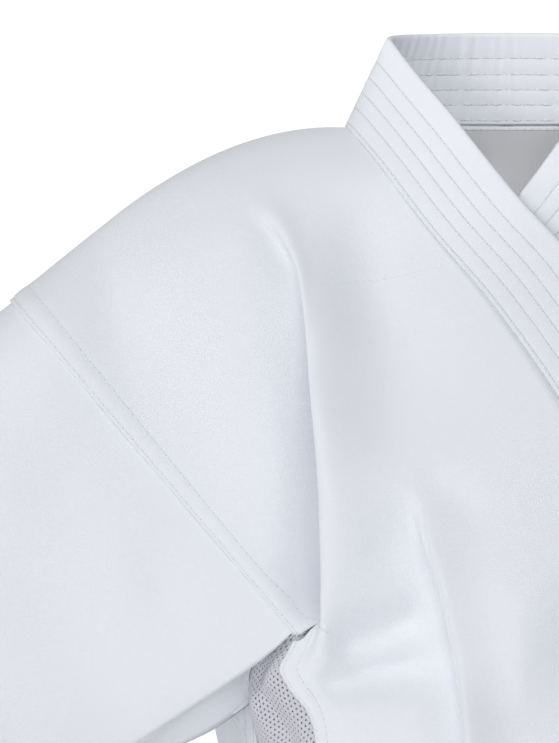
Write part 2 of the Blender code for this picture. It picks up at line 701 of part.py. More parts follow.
def side_panels(side):
    """Every panel of one side, and the grids that other pieces are placed by."""
    front = front_points(side)
    back = back_points(front)
    inset = inset_points(front, back)
    sleeve = sleeve_points(front, back, inset)
    band = band_points(front, back, side)
    mirror = np.array([-side, 1.0, 1.0])
    word = "right" if side < 0 else "left"
    made = (
        body_panel("body_" + word, front, back, WALL),
        panel("mesh_" + word, inset, True, WALL),
        panel("sleeve_" + word, sleeve, False, WALL, around=True),
        panel("collar_" + word, band, False, BAND_WALL),
    )
    for each in made:
        each["points"] = each["points"] * mirror
        if side > 0:
            each["faces"] = each["faces"][:, ::-1]
    return list(made), front, back


for old in list(bpy.data.objects):
    bpy.data.objects.remove(old, do_unlink=True)
collection = bpy.data.collections.new("karate_gi_jacket")
bpy.context.scene.collection.children.link(collection)

COTTON = cloth_material("white_cotton", (0.80, 0.82, 0.87), 0.85)
MESH = cloth_material("white_mesh", (0.72, 0.74, 0.80), 0.8)
BAND = cloth_material("white_band", (0.78, 0.80, 0.85), 0.85)

right, right_front, right_back = side_panels(-1)
left, left_front, left_back = side_panels(1)
panels = right + left
shared_normals(panels)
ties, knot_place, knot_way = tie_panels()
panels += [label_panel(right_back), *ties]
finishes = {"mesh": MESH, "collar": BAND}
for each in panels:
    finish = finishes.get(each["name"].split("_")[0], COTTON)
    wall_object(each["name"], each["points"], each["normals"], each["faces"], each["wall"], finish)
knot_object(knot_place, knot_way, BAND)
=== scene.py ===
# %% [markdown]
# # A karate gi jacket, filled out as if worn
# The part is a white cotton jacket that wraps over in front and is held by two ties. The frame holds its
# solids: the right shape and size, but coarse and plain. Here every panel is worked out again as a fine
# sheet of cloth from the same sizes, and then gets its folds, seams, stitches and weave. The picture looks
# at the wearer's right shoulder.

import bpy
import numpy as np
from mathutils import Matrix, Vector


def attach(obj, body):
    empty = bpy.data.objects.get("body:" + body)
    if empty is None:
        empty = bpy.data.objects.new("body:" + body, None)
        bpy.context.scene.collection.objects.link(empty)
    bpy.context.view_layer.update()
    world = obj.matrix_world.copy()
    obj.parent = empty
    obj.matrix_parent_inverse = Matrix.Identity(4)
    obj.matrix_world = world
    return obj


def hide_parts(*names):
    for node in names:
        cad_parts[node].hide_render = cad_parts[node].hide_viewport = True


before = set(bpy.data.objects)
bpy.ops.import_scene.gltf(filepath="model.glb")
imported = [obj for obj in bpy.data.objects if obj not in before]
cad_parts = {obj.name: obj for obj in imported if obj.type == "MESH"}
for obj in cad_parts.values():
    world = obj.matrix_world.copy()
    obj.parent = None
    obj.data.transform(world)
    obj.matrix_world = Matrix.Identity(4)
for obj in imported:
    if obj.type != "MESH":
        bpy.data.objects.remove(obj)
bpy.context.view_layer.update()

# %% [markdown]
# ## Where the camera stands
# The picture is a close view of one shoulder from a little below, taken from far away with a long lens, so
# there is hardly any perspective. A camera could be placed by eye, but here its lens follows from two real
# sizes: how far away it stands and how tall a piece of the jacket fills the picture's height.

# %% Camera
CAMERA_PLACE = Vector((-0.1352, -3.2, -0.28))
CAMERA_TARGET = Vector((-0.1352, 0.0, -0.1415))
SEEN_HEIGHT = 0.431
SENSOR = 36.0

camera_data = bpy.data.cameras.new("camera")
camera_data.sensor_width = SENSOR
camera_data.lens = SENSOR * abs(CAMERA_PLACE.y) / SEEN_HEIGHT
camera = bpy.data.objects.new("camera", camera_data)
camera.location = CAMERA_PLACE
camera.rotation_mode = "QUATERNION"
camera.rotation_quaternion = (CAMERA_TARGET - CAMERA_PLACE).to_track_quat("-Z", "Y")
bpy.context.scene.collection.objects.link(camera)
bpy.context.scene.camera = camera
print("lens", round(camera_data.lens, 1), "mm, which shows", SEEN_HEIGHT, "m from top to bottom")

# %% [markdown]
# ## Soft lamps
# White cloth on white is all about gentle shading. One lamp at the upper left gives the folds a light
# side and a shaded side, a second near the camera fills the shade, a third lights the back, and a narrow
# one reaches into the neck. Small lamps would cut hard shadow edges into the cloth, so the first three
# are wide discs.

# %% Lamps
KEY = {"place": (-4.0, -3.0, 2.2), "size": 1.8, "power": 76.0, "colour": (1.0, 0.985, 0.96)}
FILL = {"place": (0.1, -4.7, 0.6), "size": 2.3, "power": 50.0, "colour": (0.95, 0.97, 1.0)}
RIM = {"place": (0.5, 4.2, 1.2), "size": 3.0, "power": 45.0, "colour": (1.0, 1.0, 1.0)}
NECK_SPOT = {
    "place": (0.3, -2.2, 1.6), "size": 0.1, "power": 125.0, "colour": (1.0, 1.0, 1.0),
    "aim": (0.0, 0.08, -0.008), "cone": 4.9,
}


def lamp(name, place, size, power, colour, aim=(0, 0, -0.3), cone=None):
    """A round soft lamp, or a narrow cone of so many degrees with a soft rim, turned to its aim."""
    data = bpy.data.lights.new(name, "SPOT" if cone else "AREA")
    if cone:
        data.spot_size = np.radians(cone)
        data.spot_blend = 1.0
        data.shadow_soft_size = size
    else:
        data.shape = "DISK"
        data.size = size
    data.energy = power
    data.color = colour
    light = bpy.data.objects.new(name, data)
    light.location = place
    light.rotation_mode = "QUATERNION"
    light.rotation_quaternion = (Vector(aim) - Vector(place)).to_track_quat("-Z", "Y")
    light.visible_camera = False
    bpy.context.scene.collection.objects.link(light)


for name, values in {"key": KEY, "fill": FILL, "rim": RIM, "neck": NECK_SPOT}.items():
    lamp(name, **values)
print("four lamps; the key lamp's disc is", KEY["size"], "m wide")

# %% [markdown]
# ## The sky and the floor
# A bright sky from everywhere keeps the folds pale. It is whiter to the camera than to the cloth, so the
# ground behind the jacket stays clean without washing the cloth out. The floor is a plain pale disc, and
# it lies where the wearer's feet would be, so it stays out of the close view.

# %% Sky and floor
SKY_LIGHT = 0.38
SKY_SEEN = 1.15
FLOOR_DROP = 1.45
FLOOR_RADIUS = 30.0
FLOOR_GLOW = 0.1


def sky():
    """One white background for the camera, and a weaker, bluer one that lights the cloth."""
    world = bpy.data.worlds.new("studio")
    world.use_nodes = True
    nodes, links = world.node_tree.nodes, world.node_tree.links
    seen, shone = nodes["Background"], nodes.new("ShaderNodeBackground")
    seen.inputs["Color"].default_value = (1, 1, 1, 1)
    seen.inputs["Strength"].default_value = SKY_SEEN
    shone.inputs["Color"].default_value = (0.93, 0.96, 1.0, 1)
    shone.inputs["Strength"].default_value = SKY_LIGHT
    path, mix = nodes.new("ShaderNodeLightPath"), nodes.new("ShaderNodeMixShader")
    links.new(path.outputs["Is Camera Ray"], mix.inputs["Fac"])
    links.new(shone.outputs[0], mix.inputs[1])
    links.new(seen.outputs[0], mix.inputs[2])
    links.new(mix.outputs[0], nodes["World Output"].inputs["Surface"])
    bpy.context.scene.world = world


def pale_floor():
    """A round disc of the floor's radius, at the floor's depth, with a matt pale finish."""
    place = (0, 0, -FLOOR_DROP)
    bpy.ops.mesh.primitive_circle_add(vertices=96, radius=FLOOR_RADIUS, fill_type="NGON", location=place)
    disc = bpy.context.object
    disc.name = "floor"
    pale = bpy.data.materials.new("pale_floor")
    pale.use_nodes = True
    shader = pale.node_tree.nodes["Principled BSDF"]
    shader.inputs["Base Color"].default_value = (0.93, 0.93, 0.94, 1)
    shader.inputs["Roughness"].default_value = 0.9
    shader.inputs["Emission Color"].default_value = (1, 1, 1, 1)
    shader.inputs["Emission Strength"].default_value = FLOOR_GLOW
    disc.data.materials.append(pale)


sky()
pale_floor()
bpy.context.scene.view_settings.view_transform = "Standard"
print("a sky of", SKY_LIGHT, "and a floor", FLOOR_DROP, "m below the shoulders")

# %% [markdown]
# ## Building blocks for the finishes
# A finish is a small network of shader nodes. The same few steps come back in every cloth: make a node,
# work out a sum, take a sine, read a noise. Wiring each by hand would bury the idea under lines of
# set-up, so each step is a short function that gives back the socket with its result.

# %% Node helpers
def node(tree, kind, **values):
    """A new node of a kind, with its settings given by name."""
    made = tree.nodes.new(kind)
    for name, value in values.items():
        setattr(made, name, value)
    return made


def calculate(tree, operation, first, second=None):
    """The result of one operation on one or two values, each a number or a socket."""
    made = node(tree, "ShaderNodeMath", operation=operation)
    for index, value in enumerate((first, second)):
        if value is None:
            continue
        if isinstance(value, (int, float)):
            made.inputs[index].default_value = value
        else:
            tree.links.new(value, made.inputs[index])
    return made.outputs[0]


def wave(tree, coordinate, pitch):
    """sin(pi * coordinate / pitch), which is one full turn for each two pitches."""
    return calculate(tree, "SINE", calculate(tree, "MULTIPLY", coordinate, np.pi / pitch))


def noise(tree, vector, scale, detail=2.0, stretch=None):
    """A smooth random value from 0 to 1 at the vector times the scale, stretched first if asked."""
    made = node(tree, "ShaderNodeTexNoise")
    made.inputs["Scale"].default_value = scale
    made.inputs["Detail"].default_value = detail
    if stretch:
        mapping = node(tree, "ShaderNodeMapping")
        mapping.inputs["Scale"].default_value = stretch
        tree.links.new(vector, mapping.inputs["Vector"])
        vector = mapping.outputs[0]
    tree.links.new(vector, made.inputs["Vector"])
    return made.outputs["Fac"]


print("node helpers:", [f.__name__ for f in (node, calculate, wave, noise)])

# %% [markdown]
# ## The woven finishes
# The cloth is a plain weave: threads go over and under each other like a draughts board. Painting it as
# an image would fix its size, so the height is worked out from the sheet's own map, whose units are
# metres: the product of two waves, one along each thread direction, and a little noise, because no thread
# is even. It only lifts the light a little, through a bump. The net, the sewing thread, the needle holes
# and the satin label are the same weave with other pitches and colours. The net's grey is painted shade
# on a white net, and the needle holes' dark grey is the painted shade inside each hole.

# %% Cloth materials
THREAD_PITCH = 0.0007
KNIT_PITCH = 0.0011
FINE_PITCH = 0.0004
ACROSS_THREAD = 900.0
ALONG_THREAD = 60.0
PATCHES_PER_METRE = 9.0
SLUB = 0.35
COTTON_WHITE = (0.895, 0.910, 0.945)
SHADE_WHITE = (0.875, 0.893, 0.932)


def cloth(name, light, dark, pitch, roughness, sheen, bump):
    """Height is half of wave * wave plus SLUB times two stretched noises; colour follows soft patches."""
    material = bpy.data.materials.new(name)
    material.use_nodes = True
    tree = material.node_tree
    shader = tree.nodes["Principled BSDF"]
    shader.inputs["Roughness"].default_value = roughness
    shader.inputs["Sheen Weight"].default_value = sheen
    shader.inputs["Sheen Roughness"].default_value = 0.5
    shader.inputs["Specular IOR Level"].default_value = 0.25
    place = node(tree, "ShaderNodeUVMap", uv_map="cloth").outputs[0]
    parts = node(tree, "ShaderNodeSeparateXYZ")
    tree.links.new(place, parts.inputs[0])
    over, under = wave(tree, parts.outputs[0], pitch), wave(tree, parts.outputs[1], pitch)
    crossing = calculate(tree, "MULTIPLY", over, under)
    warp = noise(tree, place, 1.0, stretch=(ACROSS_THREAD, ALONG_THREAD, 1.0))
    weft = noise(tree, place, 1.0, stretch=(ALONG_THREAD, ACROSS_THREAD, 1.0))
    uneven = calculate(tree, "MULTIPLY", calculate(tree, "ADD", warp, weft), SLUB)
    height = calculate(tree, "ADD", calculate(tree, "MULTIPLY", crossing, 0.5), uneven)
    raised = node(tree, "ShaderNodeBump")
    raised.inputs["Strength"].default_value = 1.0
    raised.inputs["Distance"].default_value = bump
    tree.links.new(height, raised.inputs["Height"])
    tree.links.new(raised.outputs[0], shader.inputs["Normal"])
    space = node(tree, "ShaderNodeTexCoord").outputs["Object"]
    patches = noise(tree, space, PATCHES_PER_METRE, detail=3.0)
    mix = node(tree, "ShaderNodeMix", data_type="RGBA")
    mix.inputs["A"].default_value = (*dark, 1)
    mix.inputs["B"].default_value = (*light, 1)
    share = calculate(tree, "ADD", patches, calculate(tree, "MULTIPLY", uneven, 0.3))
    tree.links.new(share, mix.inputs["Factor"])
    tree.links.new(mix.outputs["Result"], shader.inputs["Base Color"])
    return material


COTTON = cloth("white_cotton", COTTON_WHITE, SHADE_WHITE, THREAD_PITCH, 0.85, 0.12, 0.00008)
BAND = cloth("white_band_cotton", COTTON_WHITE, SHADE_WHITE, THREAD_PITCH, 0.85, 0.12, 0.00009)
# The net is white; its grey base colour is painted shade, the shade it lies in under the arm.
NET_PAINTED_SHADE = cloth("grey_net_painted_shade", (0.68, 0.67, 0.73), (0.62, 0.62, 0.68), KNIT_PITCH, 0.75, 0.1, 0.0001)
THREAD = cloth("white_thread", (0.84, 0.86, 0.90), (0.78, 0.80, 0.86), FINE_PITCH, 0.6, 0.1, 0.00003)
# The needle holes' dark grey is painted shade: the shade inside each hole, on a flat disc.
PAINTED_HOLE_SHADE = cloth("needle_hole_painted_shade", (0.46, 0.49, 0.55), (0.40, 0.43, 0.50), THREAD_PITCH, 0.9, 0.0, 0.00001)
LABEL = cloth("bare_label_satin", (0.93, 0.93, 0.93), (0.90, 0.90, 0.91), FINE_PITCH, 0.5, 0.05, 0.00002)
print("finishes:", [m.name for m in (COTTON, BAND, NET_PAINTED_SHADE, THREAD, PAINTED_HOLE_SHADE, LABEL)])

# %% [markdown]
# ## The sizes of the cut
# These are the jacket's own measures in millimetres, for the wearer's right side at negative X. The left
# side is the same cut mirrored, so no size is given twice. The collar band's width is the one everything
# else was scaled by, because such bands are always made about as wide.

# %% Sizes
HEM_DOWN = 740.0
VENT_DOWN = 550.0
BAND_WIDTH = 53.0
SLEEVE_LENGTH = 380.0
CLOTH_WALL = 1.3
ARMHOLE_TOP = np.array([-291.3, 0.0, -101.0])
ARMPIT_FRONT = np.array([-126.5, -75.0, -294.0])
ARMPIT_BACK = np.array([-149.0, -33.0, -332.0])
NECK_POINT = np.array([-95.7, 0.0, 0.0])
SQUARENESS = 2.2
ARM_DEPTH = 55.0
ARMPIT_DEPTH = 75.0
ARM_BLEND = 110.0
SHOULDER_ROUND = 68.0
BACK_ARM_DEPTH = 58.0
FLANK_Y = -5.0
TUCK_DEPTH = 8.0
DEEP_TUCK = 9.0
TURN_SHARE = 0.26
TOP_SLOPE = np.radians(39.7)
BOTTOM_SLOPE = np.radians(37.4)
SLEEVE_DEPTH = 50.0
SLEEVE_DEPTH_AT_CUFF = 44.0
ARM_FORWARD = 26.0
UNDERSIDE = np.radians(25.0)

print("the jacket is", HEM_DOWN, "mm from shoulder to hem, with a band", BAND_WIDTH, "mm wide")

# %% [markdown]
# ## Sizes that change down the body
# A chest swells, a lapel runs aslant, a neckline bends. A drawn curve with dozens of points would be hard
# to read and to change, so each is a short table: named columns, and a row for each section that a cutter
# would measure. What lies between the rows is filled in by a smooth curve.

# %% Tables
def table(columns, *rows):
    """Named columns of numbers, a row for each section."""
    return {name: np.array(column, float) for name, column in zip(columns.split(), zip(*rows))}


SHOULDER = table(
    "x down",
    (-291.3, 101.0), (-265.6, 79.5), (-242.4, 60.9), (-219.2, 42.9), (-196.0, 27.8),
    (-172.8, 15.7), (-149.6, 7.0), (-126.4, 1.7), (-110.0, 0.0), (-95.7, 0.0),
)
CHEST = table(
    "down depth half",
    (-20, 46, 240), (43, 68, 240), (107, 92, 236), (150, 103, 225), (200, 112, 206), (250, 117, 188),
    (294, 119, 174), (345, 118, 165), (430, 110, 162), (560, 124, 186), (740, 134, 204),
)
LAPEL_OVER = table(
    "down x",
    (0, -95.7), (58, -54.4), (111.6, -11.7), (200, 42), (294, 62), (430, 73), (560, 80), (740, 84),
)
LAPEL_UNDER = table(
    "down x",
    (0, -95.7), (58, -54.4), (111.6, -11.7), (200, 20), (294, 36), (430, 58), (560, 70), (740, 76),
)
FRONT_EDGE = table(
    "down x",
    (294, -126.5), (304, -131.0), (313, -135.0), (321, -131.5), (327, -127.5), (335, -120.5),
    (343, -116.6), (360, -114.0), (430, -114.0), (550, -150.0), (740, -173.0),
)
BACK = table(
    "down depth half edge_x edge_y",
    (332, 118, 186, -149, -33), (430, 104, 166, -146, -34),
    (550, 120, 186, -169, -60), (740, 130, 204, -190, -60),
)
CENTRE_BACK = table(
    "share y down",
    (0, 78, -9), (0.15, 94, 22), (0.35, 109, 85), (0.6, 121, 165), (0.8, 122, 240), (1, 118, 332),
)
NECK = table(
    "share seam_x seam_y seam_down edge_x edge_y edge_down",
    (0, -95.7, 0, 0, -70.7, 4, -53),
    (0.25, -88, 27, -3, -68, 30, -57.5),
    (0.5, -69, 52, -6.4, -54, 52, -60.5),
    (0.75, -38, 71, -8.4, -30, 67, -62.6),
    (1, 0, 78, -9, 0, 73, -63.6),
    (1.25, 38, 71, -8.4, 30, 67, -62.6),
)
NECK_EDGE = table(
    "seam_down x y down",
    (0, -70.7, 4, -53), (20, -56, -16, -31), (40, -35, -42, -3),
    (58, -15, -64, 25), (85, 8, -80, 55), (112, 30, -88, 82),
)
RIGHT_GUIDE = table(
    "down x",
    (0, -185), (50, -152), (78, -126), (98, -120), (127, -114.5), (173, -109.5),
    (218, -106), (284, -106.5), (345, -100), (430, -98), (740, -118),
)
LEFT_GUIDE = table(
    "down x",
    (0, -195), (48, -170), (80, -149), (120, -138), (175, -134),
    (230, -128), (284, -108), (345, -101), (430, -98), (740, -118),
)
CREASE_GUIDE = table(
    "down x",
    (0, -112), (60, -92), (150, -75), (234, -57), (268, -45),
    (309, -36), (344, -32.5), (430, -20), (740, 0),
)
print("the chest is at most", 2 * CHEST["half"].max(), "mm wide,",
      "and in front", CHEST["depth"].max(), "mm deep")

# %% [markdown]
# ## Smooth curves
# Hard corners in a formula show up as ridges in cloth. These helpers pass smoothly from one value to
# another: an ease that starts and stops gently, a quarter of a round for edges that turn over, and a
# curve through a table's rows. Blender's own curves could do it too, but whole arrays of points can be
# read from these at once.

# %% Curves
def ease(t):
    """t * t * (3 - 2t), which goes from 0 to 1 and is flat at both ends."""
    t = np.clip(t, 0.0, 1.0)
    return t * t * (3.0 - 2.0 * t)


def dome(t):
    """The square root of 1 - (1 - t)^2: a quarter of a round, upright at 0 and level at 1."""
    return np.sqrt(1.0 - (1.0 - np.clip(t, 0.0, 1.0)) ** 2)


def through(knots, values, at):
    """A cubic between each two knots, which takes their values and the mean slope beside each knot."""
    values = np.asarray(values, float)
    flat = values.reshape(len(knots), -1)
    slopes = np.gradient(flat, knots, axis=0)
    at = np.clip(at, knots[0], knots[-1])
    left = np.clip(np.searchsorted(knots, at, side="right") - 1, 0, len(knots) - 2)
    span = (knots[left + 1] - knots[left])[..., None]
    s = (at - knots[left])[..., None] / span
    start = (2 * s**3 - 3 * s**2 + 1) * flat[left] + (s**3 - 2 * s**2 + s) * slopes[left] * span
    end = (3 * s**2 - 2 * s**3) * flat[left + 1] + (s**3 - s**2) * slopes[left + 1] * span
    return (start + end).reshape(np.shape(at) + values.shape[1:])


def read(rows, column, at, by="down"):
    """A table's column as a smooth curve, at any place on another column."""
    return through(rows[by], rows[column], np.asarray(at, float))


def points(x, y, down):
    """Points from coordinates that may each be a number or an array."""
    return np.stack(np.broadcast_arrays(x, y, -np.asarray(down, float)), axis=-1)


print("150 mm down, the lapel's seam lies at x =", read(LAPEL_OVER, "x", 150.0).round(1))

# %% [markdown]
# ## How far a point lies from a line
# Folds follow lines on the cloth, and the sleeve is sewn in along one. To shape the cloth beside such a
# line, every point needs to know how far away the line is, on which side, and how much of the line it has
# passed. A search through the nearest pieces of the line answers all three for a whole grid at once.

# %% Distances
def line_place(x, down, line):
    """The nearest of 32 pieces of the line: signed distance (right is positive), share passed, way right."""
    knots = np.linspace(0, 1, len(line["x"]))
    path = through(knots, np.stack([line["x"], line["down"]], axis=1), np.linspace(0, 1, 33))
    step = np.diff(path, axis=0)
    size = np.hypot(step[:, 0], step[:, 1])
    off = np.stack([x, down], axis=-1)[..., None, :] - path[:-1]
    share = np.clip((off * step).sum(-1) / size**2, 0, 1)
    gap = np.linalg.norm(off - share[..., None] * step, axis=-1)
    nearest = gap.argmin(-1)
    chosen = np.take_along_axis
    way = step[nearest] / size[nearest][..., None]
    right = np.stack([way[..., 1], -way[..., 0]], axis=-1)
    away = chosen(off, nearest[..., None, None], -2)[..., 0, :]
    distance = chosen(gap, nearest[..., None], -1)[..., 0] * np.sign((away * right).sum(-1))
    before = np.append(0, np.cumsum(size))[nearest]
    passed = before + size[nearest] * chosen(share, nearest[..., None], -1)[..., 0]
    return distance, passed / size.sum(), right


SEAM_RUN = (ARMPIT_FRONT - ARMHOLE_TOP)[[0, 2]]
SEAM_LENGTH = np.hypot(*SEAM_RUN)
SEAM_WAY = SEAM_RUN / SEAM_LENGTH
SEAM_INWARD = np.array([-SEAM_WAY[1], SEAM_WAY[0]])


def armhole_place(x, down):
    """Along is the dot product with the seam's way over its length; inside is that with its inward way."""
    from_top_x, from_top_z = x - ARMHOLE_TOP[0], -down - ARMHOLE_TOP[2]
    along = (from_top_x * SEAM_WAY[0] + from_top_z * SEAM_WAY[1]) / SEAM_LENGTH
    inside = from_top_x * SEAM_INWARD[0] + from_top_z * SEAM_INWARD[1]
    return along, inside


print("the armhole seam is", SEAM_LENGTH.round(1), "mm long, seen from the front")

# %% [markdown]
# ## The large folds
# Cloth that hangs from the shoulder and is pulled in under the arm makes a few large folds. A simulation
# would make folds of its own choosing, so the ones in the picture are laid one by one along lines: a lap
# carries one side over the other, and a ridge or trough only lifts or sinks. Each has its own width,
# height and way of fading out, because even folds look like corrugated card.

# %% Large folds
DROP_SHARE = 0.3
PIN_REACH = 20.0


def fold(kind, width, slide, lift, fade_in, fade_out, *line):
    """One fold: a lap carries its right side over its left, and a ridge stands up where lift is positive."""
    return {
        "kind": kind, "width": width, "slide": slide, "lift": lift,
        "fades": (fade_in, fade_out), "line": table("x down", *line),
    }


RIGHT_FOLDS = (
    fold("lap", 14, 16, 16, 0.45, 0.2, (-152, 50), (-126, 78), (-119, 104), (-112, 150), (-106, 218),
         (-106, 275), (-112, 292), (-126, 307), (-140, 318)),
    fold("lap", 6, 3.5, 5.5, 0.2, 0.3, (-160, 46), (-140, 60), (-128, 82), (-122, 104), (-116, 150),
         (-110, 218), (-109, 275), (-114, 292), (-127, 306)),
    fold("ridge", 8, 0, -11, 0.45, 0.12, (-131, 96), (-127, 140), (-124, 190), (-122, 240), (-121, 272),
         (-126, 292)),
    fold("lap", 9, 5, 6, 0.25, 0.2, (-62, 205), (-57, 234), (-45, 268), (-36, 309), (-31, 350), (-24, 420)),
    fold("lap", 4, 2.6, 3.6, 0.2, 0.3, (-61, 212), (-56, 234), (-44, 268), (-35, 309), (-30, 350),
         (-24, 410)),
    fold("ridge", 9, 0, 6, 0.3, 0.5, (-122, 312), (-95, 306), (-60, 293), (-30, 282)),
    fold("ridge", 9, 0, 5, 0.2, 0.5, (-124, 338), (-90, 330), (-50, 327), (-20, 330)),
    fold("ridge", 38, 0, -12, 0.3, 0.4, (-88, 20), (-80, 70), (-75, 130), (-82, 210)),
    fold("ridge", 13, 0, -5, 0.3, 0.4, (-92, 30), (-85, 70), (-80, 110), (-80, 150)),
)
LEFT_FOLDS = (
    fold("lap", 12, 8, 9, 0.3, 0.35, (-170, 48), (-146, 80), (-136, 120), (-132, 175), (-134, 230)),
    fold("ridge", 10, 0, 5, 0.3, 0.5, (-126, 304), (-112, 299), (-96, 288), (-84, 276)),
    fold("ridge", 34, 0, -5, 0.3, 0.4, (-104, 30), (-104, 80), (-104, 140), (-108, 180)),
)


def folded(x, down, depth, folds):
    """With q = distance / width: a lap slides by q * exp(0.5 - q^2 / 2), a ridge lifts by exp(-q^2 / 2)."""
    along, inside = armhole_place(x, down)
    beyond = np.hypot(x - ARMPIT_FRONT[0], down + ARMPIT_FRONT[2])
    from_edge = np.abs(x - read(FRONT_EDGE, "x", np.maximum(down, -ARMPIT_FRONT[2])))
    pinned = ease(np.where(along > 1, np.minimum(beyond, from_edge), inside) / PIN_REACH)
    new_x, new_down, new_depth = x.copy(), down.copy(), depth.copy()
    for each in folds:
        across, share, right = line_place(x, down, each["line"])
        q = across / each["width"]
        fade_in, fade_out = each["fades"]
        strength = ease(share / fade_in) * ease((1 - share) / fade_out) * pinned
        if each["kind"] == "lap":
            form = q * np.exp(0.5 - q * q / 2)
            new_x -= each["slide"] * form * strength * right[..., 0]
            new_down -= DROP_SHARE * each["slide"] * form * strength * right[..., 1]
        else:
            form = np.exp(-q * q / 2)
        new_depth += each["lift"] * form * strength
    return new_x, new_down, new_depth


print(len(RIGHT_FOLDS) + len(LEFT_FOLDS), "large folds")

# %% [markdown]
# ## How far the front stands out
# Worn, the front is an oval chest that turns into the arm's rounder form near the armhole, and it rolls
# over the shoulder. A modelled lump could be pushed into that shape by hand, but a formula keeps it tied
# to the sizes: the two forms are blended by the distance from the armhole. The skirt gets two slow waves,
# for a hem that never hangs in a plain ring.

# %% Front depth
FLANK_REACH = 0.985
ARMPIT_FADE = 60.0
SKIRT_FROM = 440.0
SKIRT_FADE = 260.0
SKIRT_WAVES = table("turns height phase", (5, 3.2, 0.4), (9, 2.0, 1.9))


def front_depth(x, down):
    """The chest is depth * (1 - reach^n)^(1/n), blended into the arm's depth and rounded at the shoulder."""
    x = -np.abs(x)
    reach = np.clip(-x / read(CHEST, "half", down), 0, FLANK_REACH)
    chest = read(CHEST, "depth", down) * (1 - reach**SQUARENESS) ** (1 / SQUARENESS)
    along, inside = armhole_place(x, down)
    arm = ARM_DEPTH + (ARMPIT_DEPTH - ARM_DEPTH) * ease((along - 0.5) / 0.5)
    near_arm = (1 - ease(inside / ARM_BLEND)) * (1 - ease((down + ARMPIT_FRONT[2]) / ARMPIT_FADE))
    below_shoulder = down - read(SHOULDER, "down", x, by="x")
    return (chest * (1 - near_arm) + arm * near_arm) * dome(below_shoulder / SHOULDER_ROUND)


def skirt_wave(x, y, down):
    """The sum of height * sin(turns * angle + phase), growing below the waist."""
    turn = np.arctan2(y, x)
    waves = sum(h * np.sin(n * turn + p) for n, h, p in zip(*SKIRT_WAVES.values()))
    return waves * ease((down - SKIRT_FROM) / SKIRT_FADE)


print("mid chest, 200 mm down, stands", front_depth(np.array(0.0), 200.0).round(1), "mm forward")

# %% [markdown]
# ## Rows and columns of a front
# A front is a grid of rows from the armhole to the lapel. Seen from the front its outline is known, so
# the rows are laid out flat first. The columns lie close together along the folds and beside the seams,
# where the shape changes quickly, and far apart elsewhere. Even columns would need several times as many
# points for the same sharp fold.

# %% Rows and columns
ROWS_TO_ARMPIT = 84
ROWS_TO_VENT = 64
ROWS_TO_HEM = 28
COLUMNS_BEFORE_FOLD = 32
COLUMNS_TO_CREASE = 42
COLUMNS_TO_LAPEL = 22
FOLD_CROWD = 0.35
CREASE_CROWD = 0.3
ROW_SAMPLES = 401
SEAM_STEPS = np.array([0, 1.0, 2.0, 3.2, 6.0, 9.2, 10.5, 11.8, 14.5])
HEM_STEPS = np.array([24.0, 21.4, 20.0, 18.6, 14.0, 8.0, 3.0, 1.0, 0.0])


def row_shares():
    """Shares of the armhole seam, (1 - cos(turn)) over its last value: rows crowd at both ends."""
    turn = np.linspace(0, np.pi - UNDERSIDE, ROWS_TO_ARMPIT + 1)
    return (1 - np.cos(turn)) / (1 + np.cos(UNDERSIDE))


def levels(start):
    """Rows spread to the vent's top by 0.45t + 0.55t^2, then lie evenly, then at the hem's steps."""
    steps = np.linspace(0, 1, ROWS_TO_VENT + 1)
    upper = start + (VENT_DOWN - start) * (0.45 * steps + 0.55 * steps**2)
    lower = np.linspace(VENT_DOWN, HEM_DOWN - HEM_STEPS[0], ROWS_TO_HEM + 1)
    return np.concatenate([upper, lower[1:], HEM_DOWN - HEM_STEPS[1:]])


def columns_between(start, end, count, crowd):
    """start + (end - start) * ((1 - crowd) * t + crowd * t^3), which crowds the columns at the start."""
    t = np.linspace(0, 1, count + 1)[1:]
    return start + (end - start) * ((1 - crowd) * t + crowd * t**3)


def row_columns(rows_x, rows_down, shares, guide):
    """For each row: the seam's steps, then columns to the fold's guide, the crease's guide and the lapel."""
    placed = []
    for x, down in zip(rows_x, rows_down):
        at_fold = np.interp(0, x - read(guide, "x", down), shares)
        at_crease = np.interp(0, x - read(CREASE_GUIDE, "x", down), shares)
        span = x[-1] - x[0]
        seam = SEAM_STEPS / span * min(1.0, 0.6 * span * at_fold / SEAM_STEPS[-1])
        crowd = np.clip(1 - 1.2 * COLUMNS_BEFORE_FOLD / max(span * (at_fold - seam[-1]), 1.0), 0, 0.6)
        outer = columns_between(at_fold, seam[-1], COLUMNS_BEFORE_FOLD, crowd)[::-1]
        middle = columns_between(at_fold, at_crease, COLUMNS_TO_CREASE, FOLD_CROWD)
        inner = columns_between(at_crease, 1, COLUMNS_TO_LAPEL, CREASE_CROWD)
        placed.append(np.concatenate([seam[:-1], outer, [at_fold], middle, inner]))
    return np.array(placed)


